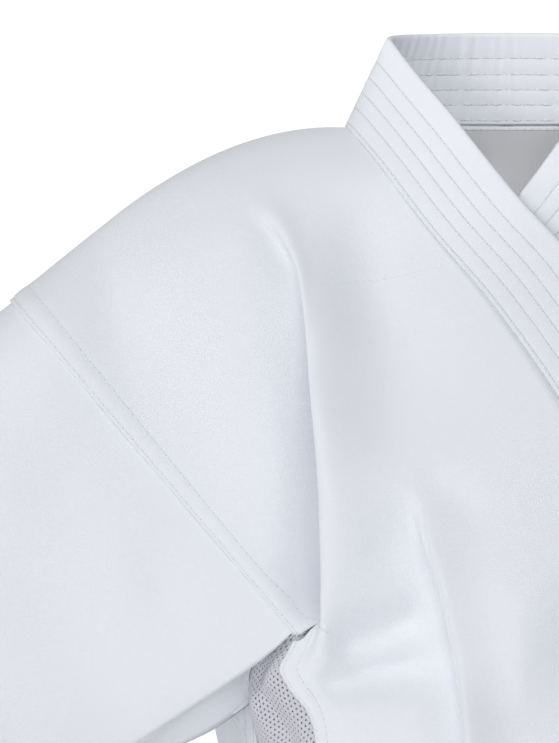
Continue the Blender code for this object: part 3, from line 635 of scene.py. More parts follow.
def front_sheet(lapel, guide):
    """Above the armpit a row blends the shoulder line into the armpit's row; below, it runs edge to lapel."""
    shares = np.linspace(0, 1, ROW_SAMPLES)
    down_seam = row_shares()[:, None]
    armpit_down = -ARMPIT_FRONT[2]
    top_x = ARMHOLE_TOP[0] + (NECK_POINT[0] - ARMHOLE_TOP[0]) * shares
    top_down = read(SHOULDER, "down", top_x, by="x")
    end_x = read(lapel, "x", armpit_down * down_seam)
    row_end_x = read(lapel, "x", armpit_down)
    bottom_x = ARMPIT_FRONT[0] + (row_end_x - ARMPIT_FRONT[0]) * shares
    straight_end = NECK_POINT[0] + (row_end_x - NECK_POINT[0]) * down_seam
    upper_x = (1 - down_seam) * top_x + down_seam * bottom_x + shares * (end_x - straight_end)
    upper_down = (1 - down_seam) * top_down + down_seam * armpit_down
    lower_down = levels(armpit_down)[1:, None] + 0 * shares
    edge_x = read(FRONT_EDGE, "x", lower_down[:, :1])
    lapel_x = read(lapel, "x", lower_down[:, :1])
    lower_x = edge_x + (lapel_x - edge_x) * shares
    rows_x, rows_down = np.vstack([upper_x, lower_x]), np.vstack([upper_down, lower_down])
    at = row_columns(rows_x, rows_down, shares, guide)
    x = np.array([np.interp(a, shares, row) for a, row in zip(at, rows_x)])
    down = np.array([np.interp(a, shares, row) for a, row in zip(at, rows_down)])
    return x, down


print("a front is laid out as", front_sheet(LAPEL_OVER, RIGHT_GUIDE)[0].shape, "points")

# %% [markdown]
# ## Where the band's free edge runs
# The band is sewn to the fronts' edge and lies flat on them, so its free edge shows where one front ends
# over the other. The covered front has to lie behind it. It could be pushed back until nothing pokes
# through; here the line of the upper band's edge is known, and the lower front sinks the further it lies
# under it.

# %% Band edge and tuck
def band_edge(lapel, seam_down):
    """Past the neck the edge is the seam plus the band's width square to the lapel; before, a table."""
    near = [read(NECK_EDGE, name, seam_down, by="seam_down") for name in ("x", "y", "down")]
    step = 4.0
    run = read(lapel, "x", seam_down + step) - read(lapel, "x", seam_down - step)
    size = np.hypot(run, 2 * step)
    x = read(lapel, "x", seam_down) + BAND_WIDTH * 2 * step / size
    down = np.minimum(seam_down - BAND_WIDTH * run / size * ease((HEM_DOWN - seam_down) / 60), HEM_DOWN)
    y = -front_depth(x, np.maximum(down, 0)) - 2
    past = ease((seam_down - 70) / 42)
    return tuple(n * (1 - past) + f * past for n, f in zip(near, (x, y, down)))


def tuck(x, down, side):
    """Two eased steps of the distance under the upper band's free edge; nothing on the upper front."""
    if side < 0:
        return 0 * x
    edge_x, _, edge_down = band_edge(LAPEL_OVER, np.linspace(0, HEM_DOWN, 40))
    covered = -line_place(-x, down, {"x": edge_x, "down": edge_down})[0]
    return TUCK_DEPTH * ease((covered + 40) / 36) + DEEP_TUCK * ease(covered / 50)


print("the covered front lies up to", TUCK_DEPTH + DEEP_TUCK, "mm behind the upper one")

# %% [markdown]
# ## The two fronts
# The front's cloth and the strip sewn over the sleeve part at the armpit: there the net shows through a
# small notch. Cutting the mesh afterwards would leave a ragged edge, so the rows on both sides of the
# notch are moved apart by two bells, and the faces between them are left out later. Then each front gets
# its depth, its folds and its tuck.

# %% Fronts
NOTCH_RISE = 10.0
NOTCH_GAP = 1.6
NOTCH_X = -113.0
GAP_X = -112.0


def notched(x, down):
    """Lifts the rows by a bell round the armpit's corner, and lowers those below the notch by another."""
    below = down + ARMPIT_FRONT[2]
    from_corner, from_notch = x - ARMPIT_FRONT[0], x - NOTCH_X
    near = ease(from_corner / 8) * np.exp(-((from_notch / 9) ** 2)) * np.exp(-((below / 18) ** 2))
    made = down - NOTCH_RISE * near
    row = ROWS_TO_ARMPIT + 1
    made[row:] += (NOTCH_GAP * ease((GAP_X - x) / 9) * np.exp(-((below / 14) ** 2)))[row:]
    return made


def front_points(side):
    """The flat rows and columns, notched, given their depth, folded, waved and tucked."""
    lapel, guide = (LAPEL_OVER, RIGHT_GUIDE) if side < 0 else (LAPEL_UNDER, LEFT_GUIDE)
    x, down = front_sheet(lapel, guide)
    down = notched(x, down)
    depth = front_depth(x, down)
    x, down, depth = folded(x, down, depth, RIGHT_FOLDS if side < 0 else LEFT_FOLDS)
    depth += skirt_wave(x * -side, -depth, down)
    grid = points(x, -depth + tuck(x, down, side), down)
    grid[0, :, 1] = 0
    return grid


FRONTS = {side: front_points(side) for side in (-1, 1)}
print("a front is a grid of", FRONTS[-1].shape[:2], "points")

# %% [markdown]
# ## The two backs
# The back hangs from the same shoulder line and neck seam. Above the armpit it is a patch between four
# edges: the shoulder and neck, the armhole, the centre line and the armpit's level. Blending the edges
# across gives a smooth surface that meets each of them exactly, which a modelled surface would only
# nearly do. Below, it is rings, half an oval each. At the side it hooks forward under the arm, to the
# net.

# %% Backs
COLUMNS_AT_NECK = 18


def back_armhole(shares, end):
    """The front seam's line moved over to the seam's end, BACK_ARM_DEPTH behind, dropping to it below."""
    straight = ARMHOLE_TOP[[0, 2]] + shares[:, None] * SEAM_RUN
    turn = ease((shares - 0.5) / 0.5)[:, None]
    plan = straight + turn * (end[[0, 2]] - ARMPIT_FRONT[[0, 2]])
    drop = ease((shares - 0.62) / 0.38)
    y = BACK_ARM_DEPTH * dome(shares / 0.28) * (1 - drop) + end[1] * drop
    return np.stack([plan[:, 0], y, plan[:, 1]], axis=1)


def back_ring(level, shares):
    """A cubic curve at each level from the flank to the centre line, with 0.62 of the way as handles."""
    depth, half = (read(BACK, name, level)[..., None] for name in ("depth", "half"))
    a, b = (1 - shares) ** 3, 3 * (1 - shares) ** 2 * shares
    c, d = 3 * (1 - shares) * shares**2, shares**3
    x = -half * (a + b + 0.62 * c)
    y = FLANK_Y * a + (FLANK_Y + 0.62 * (depth - FLANK_Y)) * b + depth * (c + d)
    return points(x, y, np.asarray(level)[..., None])


def hook(shares):
    """(1 - share / TURN_SHARE)^2: how much of the turn under the arm each column takes."""
    return np.clip(1 - shares / TURN_SHARE, 0, 1) ** 2


def back_shares(count):
    """0.55t + 0.45t^2: columns close together beside the seam and wider apart at the centre."""
    t = np.linspace(0, 1, count)
    return 0.55 * t + 0.45 * t**2


def back_points(front):
    """Top and bottom blended, plus what the sides still miss, blended across; then rings to the hem."""
    neck_share = np.linspace(0, 1, COLUMNS_AT_NECK + 1)[1:]
    neck = points(*(read(NECK, name, neck_share, by="share") for name in ("seam_x", "seam_y", "seam_down")))
    top = np.vstack([front[0], neck])
    shares = back_shares(len(top))
    v = np.linspace(0, 1, ROWS_TO_ARMPIT + 1)
    seam_share = row_shares()
    armpit_level = -ARMPIT_BACK[2]
    flank = np.array([-read(BACK, "half", armpit_level), FLANK_Y, ARMPIT_BACK[2]])
    left = back_armhole(seam_share, flank)
    under = back_armhole(seam_share, ARMPIT_BACK) - left
    centre_share = v**1.35
    centre = points(0, read(CENTRE_BACK, "y", centre_share, by="share"),
                    read(CENTRE_BACK, "down", centre_share, by="share"))
    bottom = back_ring(np.array([armpit_level]), shares)[0]
    blend = ease(v)[:, None, None]
    across = shares[None, :, None]
    upper = (1 - blend) * top + blend * bottom
    upper += (1 - across) * (left[:, None] - (1 - blend) * top[0] - blend * bottom[0])
    upper += across * (centre[:, None] - (1 - blend) * top[-1] - blend * bottom[-1])
    upper += hook(shares)[None, :, None] * under[:, None]
    level = levels(armpit_level)[1:]
    lower = back_ring(level, shares)
    edge = points(read(BACK, "edge_x", level), read(BACK, "edge_y", level), level)
    lower += hook(shares)[None, :, None] * (edge - lower[:, 0])[:, None]
    grid = np.vstack([upper, lower])
    grid[0] = top
    grid[..., 1] += skirt_wave(grid[..., 0], grid[..., 1], -grid[..., 2])
    return grid


BACKS = {side: back_points(FRONTS[side]) for side in (-1, 1)}
print("a back is a grid of", BACKS[-1].shape[:2], "points")

# %% [markdown]
# ## Soft creases
# Between the large folds lie many soft ones: short pulls that run out from the armpit, slack at the waist
# and long hanging folds in the skirt. They are wider than deep, so a bell across a line is enough. The
# same lines cross from the body to the sleeve, which is why they are laid over both. Without the slow
# slack between them the cloth would look ironed.

# %% Creases
CREASE_PIN = 14.0


def ridges(*rows):
    """A ridge, or a trough where its lift is below 0, for each row: width, lift, two fades and the line."""
    return tuple(fold("ridge", width, 0, lift, *rest) for width, lift, *rest in rows)


FRONT_CREASES = {
    -1: ridges(
        (8, -11.5, 0.25, 0.25, (-114, 302), (-82, 292), (-46, 281)),
        (8, -12, 0.25, 0.25, (-122, 329), (-91, 318), (-44, 310)),
        (7, -1.8, 0.4, 0.5, (-92, 240), (-74, 247), (-58, 252)),
        (8, -2.6, 0.3, 0.5, (-64, 204), (-38, 217), (-8, 232)),
        (9, 1.2, 0.4, 0.4, (-140, 150), (-136, 200), (-128, 262)),
        (9, -1.2, 0.4, 0.4, (-205, 235), (-197, 290), (-192, 330)),
        (12, 1.5, 0.4, 0.5, (-240, 210), (-225, 270), (-216, 330)),
        (8, 2.0, 0.3, 0.5, (-150, 338), (-200, 355), (-270, 372)),
        (9, -2.2, 0.3, 0.5, (-146, 352), (-210, 383), (-290, 412)),
        (12, 2.0, 0.4, 0.5, (-330, 250), (-350, 330), (-372, 400)),
        (11, -2.0, 0.4, 0.5, (-400, 260), (-410, 350), (-418, 430)),
        (10, 3.0, 0.3, 0.5, (-112, 372), (-70, 392), (-10, 402)),
        (9, -2.6, 0.3, 0.5, (-112, 396), (-60, 424), (0, 436)),
        (16, 3.0, 0.5, 0.3, (-80, 450), (-92, 560), (-104, 735)),
        (18, -3.0, 0.5, 0.3, (-30, 470), (-38, 580), (-44, 735)),
        (14, 2.2, 0.5, 0.3, (20, 520), (24, 620), (22, 735)),
    ),
    1: ridges(
        (7, -1.8, 0.3, 0.5, (-120, 300), (-100, 290), (-86, 276)),
        (9, 1.4, 0.4, 0.4, (-160, 140), (-154, 200), (-142, 262)),
        (9, -1.5, 0.4, 0.4, (-215, 225), (-205, 290), (-197, 340)),
        (12, 1.7, 0.4, 0.5, (-262, 215), (-246, 280), (-238, 340)),
        (8, 2.2, 0.3, 0.5, (-150, 336), (-205, 360), (-262, 381)),
        (10, -2.0, 0.4, 0.5, (-345, 255), (-362, 330), (-380, 410)),
        (11, 2.0, 0.4, 0.5, (-420, 290), (-428, 370), (-436, 440)),
        (9, 2.6, 0.3, 0.5, (-114, 352), (-98, 372), (-84, 400)),
        (12, 2.4, 0.5, 0.3, (-128, 560), (-138, 650), (-146, 735)),
    ),
}
BACK_CREASES = {
    -1: ridges(
        (10, 3.0, 0.3, 0.5, (-160, 300), (-110, 330), (-50, 352)),
        (9, -2.6, 0.3, 0.5, (-160, 330), (-112, 362), (-60, 384)),
        (12, 2.6, 0.4, 0.5, (-158, 372), (-100, 398), (-20, 408)),
        (11, -2.6, 0.4, 0.4, (-150, 420), (-90, 430), (-10, 426)),
        (14, 2.6, 0.4, 0.4, (-196, 90), (-168, 170), (-160, 260)),
        (13, -2.4, 0.4, 0.4, (-150, 60), (-128, 160), (-122, 280)),
        (16, 3.0, 0.5, 0.2, (-70, 450), (-84, 580), (-92, 735)),
        (18, -3.0, 0.5, 0.2, (-120, 470), (-132, 590), (-144, 735)),
        (9, -2.0, 0.3, 0.5, (-170, 320), (-230, 345), (-300, 380)),
        (10, 2.0, 0.4, 0.5, (-270, 190), (-262, 260), (-266, 330)),
        (11, -2.2, 0.4, 0.5, (-350, 250), (-352, 330), (-366, 410)),
        (12, 2.0, 0.4, 0.5, (-430, 300), (-432, 370), (-442, 450)),
    ),
    1: ridges(
        (9, 2.6, 0.3, 0.5, (-160, 306), (-116, 326), (-66, 336)),
        (11, -3.0, 0.3, 0.5, (-160, 342), (-100, 374), (-30, 388)),
        (12, 2.8, 0.4, 0.5, (-158, 388), (-96, 412), (-14, 416)),
        (15, 2.4, 0.4, 0.4, (-204, 100), (-178, 180), (-166, 268)),
        (12, -2.2, 0.4, 0.4, (-140, 70), (-124, 150), (-126, 260)),
        (18, 3.2, 0.5, 0.2, (-96, 450), (-108, 590), (-116, 735)),
        (14, -2.6, 0.5, 0.2, (-48, 480), (-56, 600), (-60, 735)),
        (9, -2.2, 0.3, 0.5, (-170, 330), (-226, 350), (-284, 388)),
        (11, 2.2, 0.4, 0.5, (-286, 200), (-276, 270), (-282, 340)),
        (12, -2.0, 0.4, 0.5, (-390, 280), (-396, 350), (-408, 430)),
    ),
}


def bells(x, down, creases):
    """The sum of lift * exp(-q^2 / 2), with q = distance / width, fading at both ends and at the seam."""
    total = np.zeros_like(x)
    for each in creases:
        across, share, _ = line_place(x, down, each["line"])
        fade_in, fade_out = each["fades"]
        strength = ease(share / fade_in) * ease((1 - share) / fade_out)
        total += each["lift"] * np.exp(-((across / each["width"]) ** 2) / 2) * strength
    along, inside = armhole_place(x, down)
    beyond = np.hypot(x - ARMPIT_FRONT[0], down + ARMPIT_FRONT[2])
    return total * ease(np.where(along > 1, beyond, np.abs(inside)) / CREASE_PIN)


def slack(x, down):
    """The cloth's slow unevenness: two sines that bend each other, about 70 mm from crest to crest."""
    first = np.sin(x * 0.083 + 1.9 * np.sin(down * 0.031 + 0.4))
    second = np.sin(down * 0.061 + 2.3 * np.sin(x * 0.037 + 1.1) + 0.8)
    return 0.45 * first + 0.45 * second


def creased(grid, creases, outward):
    """The grid with y moved by outward times the height of its creases and its slack."""
    made = grid.copy()
    x, down = grid[..., 0], -grid[..., 2]
    made[..., 1] += outward * (bells(x, down, creases) + slack(x, down))
    return made


for side in (-1, 1):
    plain_top = FRONTS[side][0].copy()
    FRONTS[side] = creased(FRONTS[side], FRONT_CREASES[side], -1)
    BACKS[side] = creased(BACKS[side], BACK_CREASES[side], 1)
    FRONTS[side][0] = plain_top
    BACKS[side][0, : len(plain_top)] = plain_top
print(sum(len(c) for group in (FRONT_CREASES, BACK_CREASES) for c in group.values()), "soft creases laid")

# %% [markdown]
# ## Measuring a grid
# Every panel is a grid of points, so the same few measures serve them all: which way is out, how far
# along the cloth each point lies, how large the cloth is, and where a line runs at a set distance from an
# edge, for a seam. They all take a whole grid at once.

# %% Measures of a grid
def grid_normals(grid, around=False):
    """Unit normals: the cross product of a step down the rows and one across the columns."""
    down = np.gradient(grid, axis=0)
    if around:
        across = np.roll(grid, -1, axis=1) - np.roll(grid, 1, axis=1)
    else:
        across = np.gradient(grid, axis=1)
    made = np.cross(down, across)
    return made / np.maximum(np.linalg.norm(made, axis=-1, keepdims=True), 1e-9)


def lengths(grid, axis):
    """The running sum of the steps' lengths along an axis of a grid, from 0 at its first point."""
    steps = np.linalg.norm(np.diff(grid, axis=axis), axis=-1)
    start = np.zeros_like(np.take(steps, [0], axis=axis))
    return np.cumsum(np.concatenate([start, steps], axis=axis), axis=axis)


def area(cloth, faces):
    """Half the cross product of each four-cornered face's diagonals, summed, in square metres."""
    corners = np.asarray(cloth).reshape(-1, 3)[faces]
    crossed = np.cross(corners[:, 2] - corners[:, 0], corners[:, 3] - corners[:, 1])
    return np.linalg.norm(crossed, axis=1).sum() / 2e6


def at_distance(grid, distance):
    """The point of each row whose running length from the first column is the distance."""
    run = lengths(grid, 1)
    lines = [[np.interp(distance, r, row[:, k]) for k in range(3)] for r, row in zip(run, grid)]
    return np.array(lines)


print("the right front's normals point to y =", grid_normals(FRONTS[-1])[60, 40, 1].round(2))

# %% [markdown]
# ## From a grid to cloth
# A grid becomes a mesh when its points are joined by four-cornered faces. Each point also gets a place on
# a map in metres, for the weave. A Solidify modifier makes the sheet as thick as the real cloth, so its
# edges don't look like paper; two surfaces modelled by hand would have to be kept parallel. foreach_set
# hands whole arrays to Blender, which is many times quicker than a loop.

# %% Grids to meshes
WORD = {-1: "right", 1: "left"}


def quads(ids):
    """Each face joins the point (i, j) to (i + 1, j), (i + 1, j + 1) and (i, j + 1)."""
    return np.stack([ids[:-1, :-1], ids[1:, :-1], ids[1:, 1:], ids[:-1, 1:]], axis=-1)


def grid_faces(rows, columns, around=False):
    """Faces of a grid numbered row by row; around closes it by repeating the first column."""
    ids = np.arange(rows * columns).reshape(rows, columns)
    if around:
        ids = np.hstack([ids, ids[:, :1]])
    return quads(ids).reshape(-1, 4)


def cloth_map(grid):
    """Each point's place on the cloth: its running length along its row, and along its column."""
    return np.stack([lengths(grid, 1), lengths(grid, 0)], axis=-1)


def mesh_object(name, cloth, faces, place, materials, side=-1, wall=0.0, kinds=None):
    """Points / 1000 as a mesh in metres; for the left side x turns to -x and the faces are reversed."""
    cloth = np.asarray(cloth, float).reshape(-1, 3)
    if side > 0:
        cloth = cloth * [-1, 1, 1]
        faces = faces[:, ::-1]
    mesh = bpy.data.meshes.new(name)
    corners = faces.shape[1]
    mesh.vertices.add(len(cloth))
    mesh.vertices.foreach_set("co", (cloth / 1000).ravel())
    mesh.loops.add(faces.size)
    mesh.loops.foreach_set("vertex_index", faces.ravel())
    mesh.polygons.add(len(faces))
    mesh.polygons.foreach_set("loop_start", np.arange(len(faces)) * corners)
    mesh.update(calc_edges=True)
    layer = mesh.uv_layers.new(name="cloth")
    corner_places = np.asarray(place).reshape(-1, 2)[faces.ravel()]
    layer.data.foreach_set("uv", (corner_places / 1000).ravel())
    for material in materials:
        mesh.materials.append(material)
    if kinds is not None:
        mesh.polygons.foreach_set("material_index", kinds)
    mesh.polygons.foreach_set("use_smooth", np.full(len(faces), True))
    mesh.validate()
    piece = bpy.data.objects.new(name, mesh)
    bpy.context.scene.collection.objects.link(piece)
    if wall:
        thick = piece.modifiers.new("thickness", "SOLIDIFY")
        thick.thickness = wall / 1000
        thick.offset = 0
    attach(piece, "root")
    return piece


def keep(cad_node):
    """Hides the solid that a finished piece stands in for, found by the solid's name."""
    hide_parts(cad_node)


print("a front's grid gives", len(grid_faces(*FRONTS[-1].shape[:2])), "faces")

# %% [markdown]
# ## Sewn edges
# Where the body laps over the sleeve its raw edge is turned under and sewn twice, which makes a raised
# strip with two sunken lines. The hem is sewn the same way. A bump could fake this from afar, but its
# edge would stay flat in profile, so the strip is lifted out of the sheet by a few tenths of a
# millimetre, column by column, and the cloth puckers a little beside the stitches.

# %% Sewn edges
STRIP_RISE = np.array([0.1, 0.5, 0.1, 0.6, 0.75, 0.55, 0.05, 0.25, 0.0])
HEM_RISE = np.array([0.0, 0.3, 0.0, 0.5, 0.6, 0.6, 0.55, 0.4, 0.1])
INNER_STITCH = 10.5
PUCKER_REACH = 7.0
PUCKER_RISE = 0.28
PUCKER_LENGTH = 17.0


def pucker(run, wave_length):
    """sin(turn + 1.7 * sin(0.23 * turn + 0.6)) times 0.65 + 0.35 * a slower sine: uneven waves."""
    turn = 2 * np.pi * run / wave_length
    return np.sin(turn + 1.7 * np.sin(turn * 0.23 + 0.6)) * (0.65 + 0.35 * np.sin(turn * 0.137 + 1.1))


def with_strip(grid, out):
    """Each point moves out along its normal by the strip's rise, the hem's rise and the pucker."""
    normals = grid_normals(grid) * out
    run = lengths(grid[:, :1], 0)
    count = len(STRIP_RISE)
    rise = np.zeros(grid.shape[:2])
    rise[1:, :count] += STRIP_RISE
    beside = lengths(grid, 1)
    near = np.exp(-(((beside - INNER_STITCH) / PUCKER_REACH) ** 2))
    rise[1:] += (PUCKER_RISE * pucker(run, PUCKER_LENGTH) * near)[1:]
    bottom = lengths(grid[::-1], 0)[::-1]
    rise += np.interp(bottom, HEM_STEPS[::-1], HEM_RISE[::-1], right=0) * (bottom < HEM_STEPS[0])
    return grid + normals * rise[..., None]


SEWN_FRONTS = {side: with_strip(FRONTS[side], 1) for side in (-1, 1)}
SEWN_BACKS = {side: with_strip(BACKS[side], -1) for side in (-1, 1)}
print("the strip beside the armhole stands", STRIP_RISE.max(), "mm proud")

# %% [markdown]
# ## The body, a front and a back in one cut
# On this jacket the cloth runs over the shoulder without a seam. Two meshes that only touch there would
# show a crease, so a front and a back share the points of their top row and make one mesh. The faces of
# the notch at the armpit's corner are left out. The weave's map is laid over the front as if seen from in
# front and a little aslant, and runs on over the shoulder.

# %% Body
NOTCH_END = -115.5


def body_faces(front, back):
    """Faces of both grids, the back's top row made of the front's points and then the neck's."""
    rows, columns = front.shape[:2]
    front_ids = np.arange(rows * columns).reshape(rows, columns)
    extra = back.shape[1] - columns
    neck_ids = rows * columns + np.arange(extra)
    below = rows * columns + extra + np.arange((len(back) - 1) * back.shape[1])
    back_ids = np.vstack([np.append(front_ids[0], neck_ids), below.reshape(len(back) - 1, -1)])
    open_columns = int((front[ROWS_TO_ARMPIT, :, 0] < NOTCH_END).sum())
    front_quads, back_quads = quads(front_ids), quads(back_ids)
    front_quads[ROWS_TO_ARMPIT, :open_columns] = -1
    front_quads = front_quads.reshape(-1, 4)
    front_quads = front_quads[front_quads[:, 0] >= 0]
    return np.vstack([front_quads, back_quads.reshape(-1, 4)[:, ::-1]])


def body_map(front, back):
    """The weave's map: x and z sheared by shares of y, with z turned over on the back."""
    seen = np.stack([front[..., 0] - 0.6 * front[..., 1], front[..., 2] + 0.5 * front[..., 1]], axis=-1)
    over = 2 * back[:1, :, 2] - back[..., 2] + 0.5 * back[..., 1]
    behind = np.stack([back[..., 0] + 0.6 * back[..., 1], over], axis=-1)
    return np.vstack([seen.reshape(-1, 2), behind[0, front.shape[1]:], behind[1:].reshape(-1, 2)])


for side, word in WORD.items():
    front, back = SEWN_FRONTS[side], SEWN_BACKS[side]
    columns = front.shape[1]
    back[0, :columns] = front[0]
    faces = body_faces(front, back)
    body = np.vstack([front.reshape(-1, 3), back[0, columns:], back[1:].reshape(-1, 3)])
    piece = mesh_object("body_cloth_" + word, body, faces, body_map(front, back), [COTTON], side, CLOTH_WALL)
    keep("body_" + word)
    print(piece.name, len(faces), "faces,", round(area(body, faces), 3), "square metres")

# %% [markdown]
# ## Where the net will hang
# Under the arm a strip of net joins the front to the back, from the armpit to the vent. The sleeve's ring
# runs across its top, so its surface comes first. A straight strip would look like a board: it bows out
# where the arm presses, and has one long soft crease.

# %% Inset
UNDER_COLUMNS = 14


def inset_points(front, back):
    """Straight rows from front edge to back edge, bowed by 4s(1 - s) and creased by a bell across."""
    first, last = ROWS_TO_ARMPIT, ROWS_TO_ARMPIT + ROWS_TO_VENT
    front_edge, back_edge = front[first : last + 1, 0], back[first : last + 1, 0]
    share = np.linspace(0, 1, UNDER_COLUMNS + 1)[None, :, None]
    grid = front_edge[:, None] * (1 - share) + back_edge[:, None] * share
    down_share = np.linspace(0, 1, len(grid))[:, None, None]
    bow = 4 * share * (1 - share)
    into_sleeve = np.array([-13.0, 0.0, 3.0]) * ease(1 - down_share / 0.25)
    outward = np.array([-7.0, -7.0, 0.0]) * ease(down_share / 0.2) * (1 - 0.5 * down_share)
    crease = np.exp(-(((share - 0.36) / 0.13) ** 2)) * ease(down_share / 0.1)
    return grid + bow * (into_sleeve + outward) + crease * np.array([3.0, 5.0, 0.0])


INSETS = {side: inset_points(FRONTS[side], BACKS[side]) for side in (-1, 1)}
print("the inset is a grid of", INSETS[-1].shape[:2], "points")

# %% [markdown]
# ## The sleeves' surface
# A sleeve of this kind is a straight tube without a cuff, and so wide that it hangs in a flat oval. A
# cylinder bent into place would crumple at the armhole. Here the first ring is the armhole itself, and
# the rings ease from it into the hanging arm's oval, forward a little, as arms hang.

# %% Sleeve surface
SLEEVE_RINGS = 84
ARMHOLE_FADE = 190.0


def sleeve_ring(front_line, under, back_line):
    """The front line, the line under the arm and the back line upwards, joined into one ring."""
    return np.vstack([front_line[: ROWS_TO_ARMPIT + 1], under, back_line[1:ROWS_TO_ARMPIT][::-1]])


def sleeve_points(front, back, inset, side):
    """y = -depth * sin(turn) * (1 + cos(turn) / 4) on slanting lines, easing out of the armhole's ring."""
    ring = sleeve_ring(front[:, 0], inset[0, 1:], back[:, 0])
    front_turn = np.linspace(0, np.pi - UNDERSIDE, ROWS_TO_ARMPIT + 1)
    under_turn = np.linspace(np.pi - UNDERSIDE, np.pi + UNDERSIDE, UNDER_COLUMNS + 1)[1:]
    back_turn = np.linspace(np.pi + UNDERSIDE, 2 * np.pi, ROWS_TO_ARMPIT + 1)[1:-1]
    turn = np.concatenate([front_turn, under_turn, back_turn])
    t = np.linspace(0, 1, SLEEVE_RINGS + 1)
    along = (SLEEVE_LENGTH * (0.7 * t + 0.3 * t**2))[:, None]
    top = ARMHOLE_TOP[[0, 2]] - along * np.array([np.cos(TOP_SLOPE), np.sin(TOP_SLOPE)])
    low = ARMPIT_FRONT[[0, 2]] - along * np.array([np.cos(BOTTOM_SLOPE), np.sin(BOTTOM_SLOPE)])
    down_share = (1 - np.cos(turn)) / 2
    plan = top[:, None] + (low - top)[:, None] * down_share[None, :, None]
    depth = SLEEVE_DEPTH + (SLEEVE_DEPTH_AT_CUFF - SLEEVE_DEPTH) * along / SLEEVE_LENGTH
    y = -depth * np.sin(turn) * (1 + 0.25 * np.cos(turn)) - ARM_FORWARD * (along / SLEEVE_LENGTH) ** 1.5
    grid = np.stack([plan[..., 0], y, plan[..., 1]], axis=-1)
    grid = grid + (1 - ease(along / ARMHOLE_FADE))[..., None] * (ring - grid[0])
    front_half, back_half = np.clip(np.sin(turn) * 2, 0, 1), np.clip(-np.sin(turn) * 2, 0, 1)
    x, down = grid[..., 0], -grid[..., 2]
    grid[..., 1] += back_half * (bells(x, down, BACK_CREASES[side]) + slack(x, down))
    grid[..., 1] -= front_half * (bells(x, down, FRONT_CREASES[side]) + slack(x, down))
    return grid


print("a sleeve has", SLEEVE_RINGS + 1, "rings")

# %% [markdown]
# ## The sleeves, sewn under the body
# Two more rings run on under the body's edge, where the seam allowance is sewn down, so that the body's
# cloth lies visibly on top of the sleeve's. If both ended at the same line, light would fall through the
# seam. At the other end the cuff is a sewn fold, lifted like the hem.

# %% Sleeves
UNDER_BODY = 1.35
UNDER_RINGS = UNDER_BODY + 0.1
UNDER_REACHES = ((11.5, 0.3), (5.0, 0.15))
SINK_FADE = 32.0
CUFF_STEPS = [0, 2, 24, 25.5, 27]
CUFF_RISE = [0.0, 0.6, 0.6, 0.0, 0.0]
SLEEVES = {}


def under_body(sleeve, front, back, inset):
    """Rings sunk by UNDER_BODY * (1 - ease(length / SINK_FADE)), after two more under the body's edge."""
    normals = grid_normals(sleeve, around=True)
    sunk = UNDER_BODY * (1 - ease(lengths(sleeve, 0) / SINK_FADE))
    turned = sleeve - normals * sunk[..., None]
    rings = []
    for reach, share in UNDER_REACHES:
        front_line = at_distance(front, reach) - grid_normals(front)[:, 5] * UNDER_RINGS
        back_line = at_distance(back, reach * 0.8) + grid_normals(back)[:, 5] * UNDER_RINGS
        below = inset[0, 1:] + share * (inset[1, 1:] - inset[0, 1:])
        rings.append(sleeve_ring(front_line, below, back_line))
    return np.vstack([np.array(rings), turned])


for side, word in WORD.items():
    plain = sleeve_points(FRONTS[side], BACKS[side], INSETS[side], side)
    sleeve = under_body(plain, FRONTS[side], BACKS[side], INSETS[side])
    rise = np.interp(lengths(sleeve[::-1], 0)[::-1], CUFF_STEPS, CUFF_RISE)
    sleeve = sleeve + grid_normals(sleeve, around=True) * rise[..., None]
    SLEEVES[side] = sleeve
    faces = grid_faces(*sleeve.shape[:2], around=True)
    name = "sleeve_cloth_" + word
    piece = mesh_object(name, sleeve, faces, cloth_map(sleeve), [COTTON], side, CLOTH_WALL)
    keep("sleeve_" + word)
    print(piece.name, len(faces), "faces,", round(area(sleeve, faces), 3), "square metres")

# %% [markdown]
# ## The net's cells
# The side inset is a knitted net, so that air gets in. A picture with see-through spots would look flat
# from the side, so its holes are really open: each is a small ring of eight faces around an opening, and
# the rings stand in rows that are shifted by half a step, like bricks. They are laid out flat first,
# where they are easy to place.

# %% Net cells
NET_PITCH = 2.9
NET_HOLE = 0.56


def net_cells(width, length):
    """Cells at ((j + 0.5 + shift) * pitch, (2i + 1) * rise): eight outline points, eight round the hole."""
    half, rise = NET_PITCH / 2, NET_PITCH * 0.43
    outline = np.array([(-1, -1), (0, -1), (1, -1), (1, 0), (1, 1), (0, 1), (-1, 1), (-1, 0)], float)
    turn = np.arctan2(outline[:, 1], outline[:, 0])
    hole = NET_HOLE * np.stack([np.cos(turn), np.sin(turn)], axis=1)
    ring = np.vstack([outline * [half, rise], hole])
    rows, columns = int(length / (2 * rise)), int(width / NET_PITCH)
    i, j = (n.ravel() for n in np.meshgrid(np.arange(rows), np.arange(columns), indexing="ij"))
    centre = np.stack([(j + 0.5 + 0.5 * (i % 2)) * NET_PITCH, (2 * i + 1) * rise], axis=1)
    cells = centre[:, None] + ring
    a = np.arange(8)
    b = (a + 1) % 8
    local = np.stack([a, b, b + 8, a + 8], axis=1)
    faces = (np.arange(len(cells))[:, None, None] * 16 + local).reshape(-1, 4)
    flat = cells.reshape(-1, 2)
    _, first, weld = np.unique(np.round(flat, 3), axis=0, return_index=True, return_inverse=True)
    return flat[first], weld.ravel()[faces], (columns + 0.5) * NET_PITCH, rows * 2 * rise


print("a 100 by 100 mm piece of net has", len(net_cells(100.0, 100.0)[1]) // 8, "holes")

# %% [markdown]
# ## The net under the arms
# Now the flat net is carried on to the inset's surface, which runs on under the body's edges, as real net
# is sewn in behind the strip. At the armpit's corner it reaches further, because the notch above it is
# open. Reading the surface between its points keeps the holes even.

# %% Net
NET_WALL = 0.55
NET_SUNK = 1.25
NET_UNDER = 7.0
NET_UNDER_CORNER = 16.0
CORNER_ROWS = 9.0


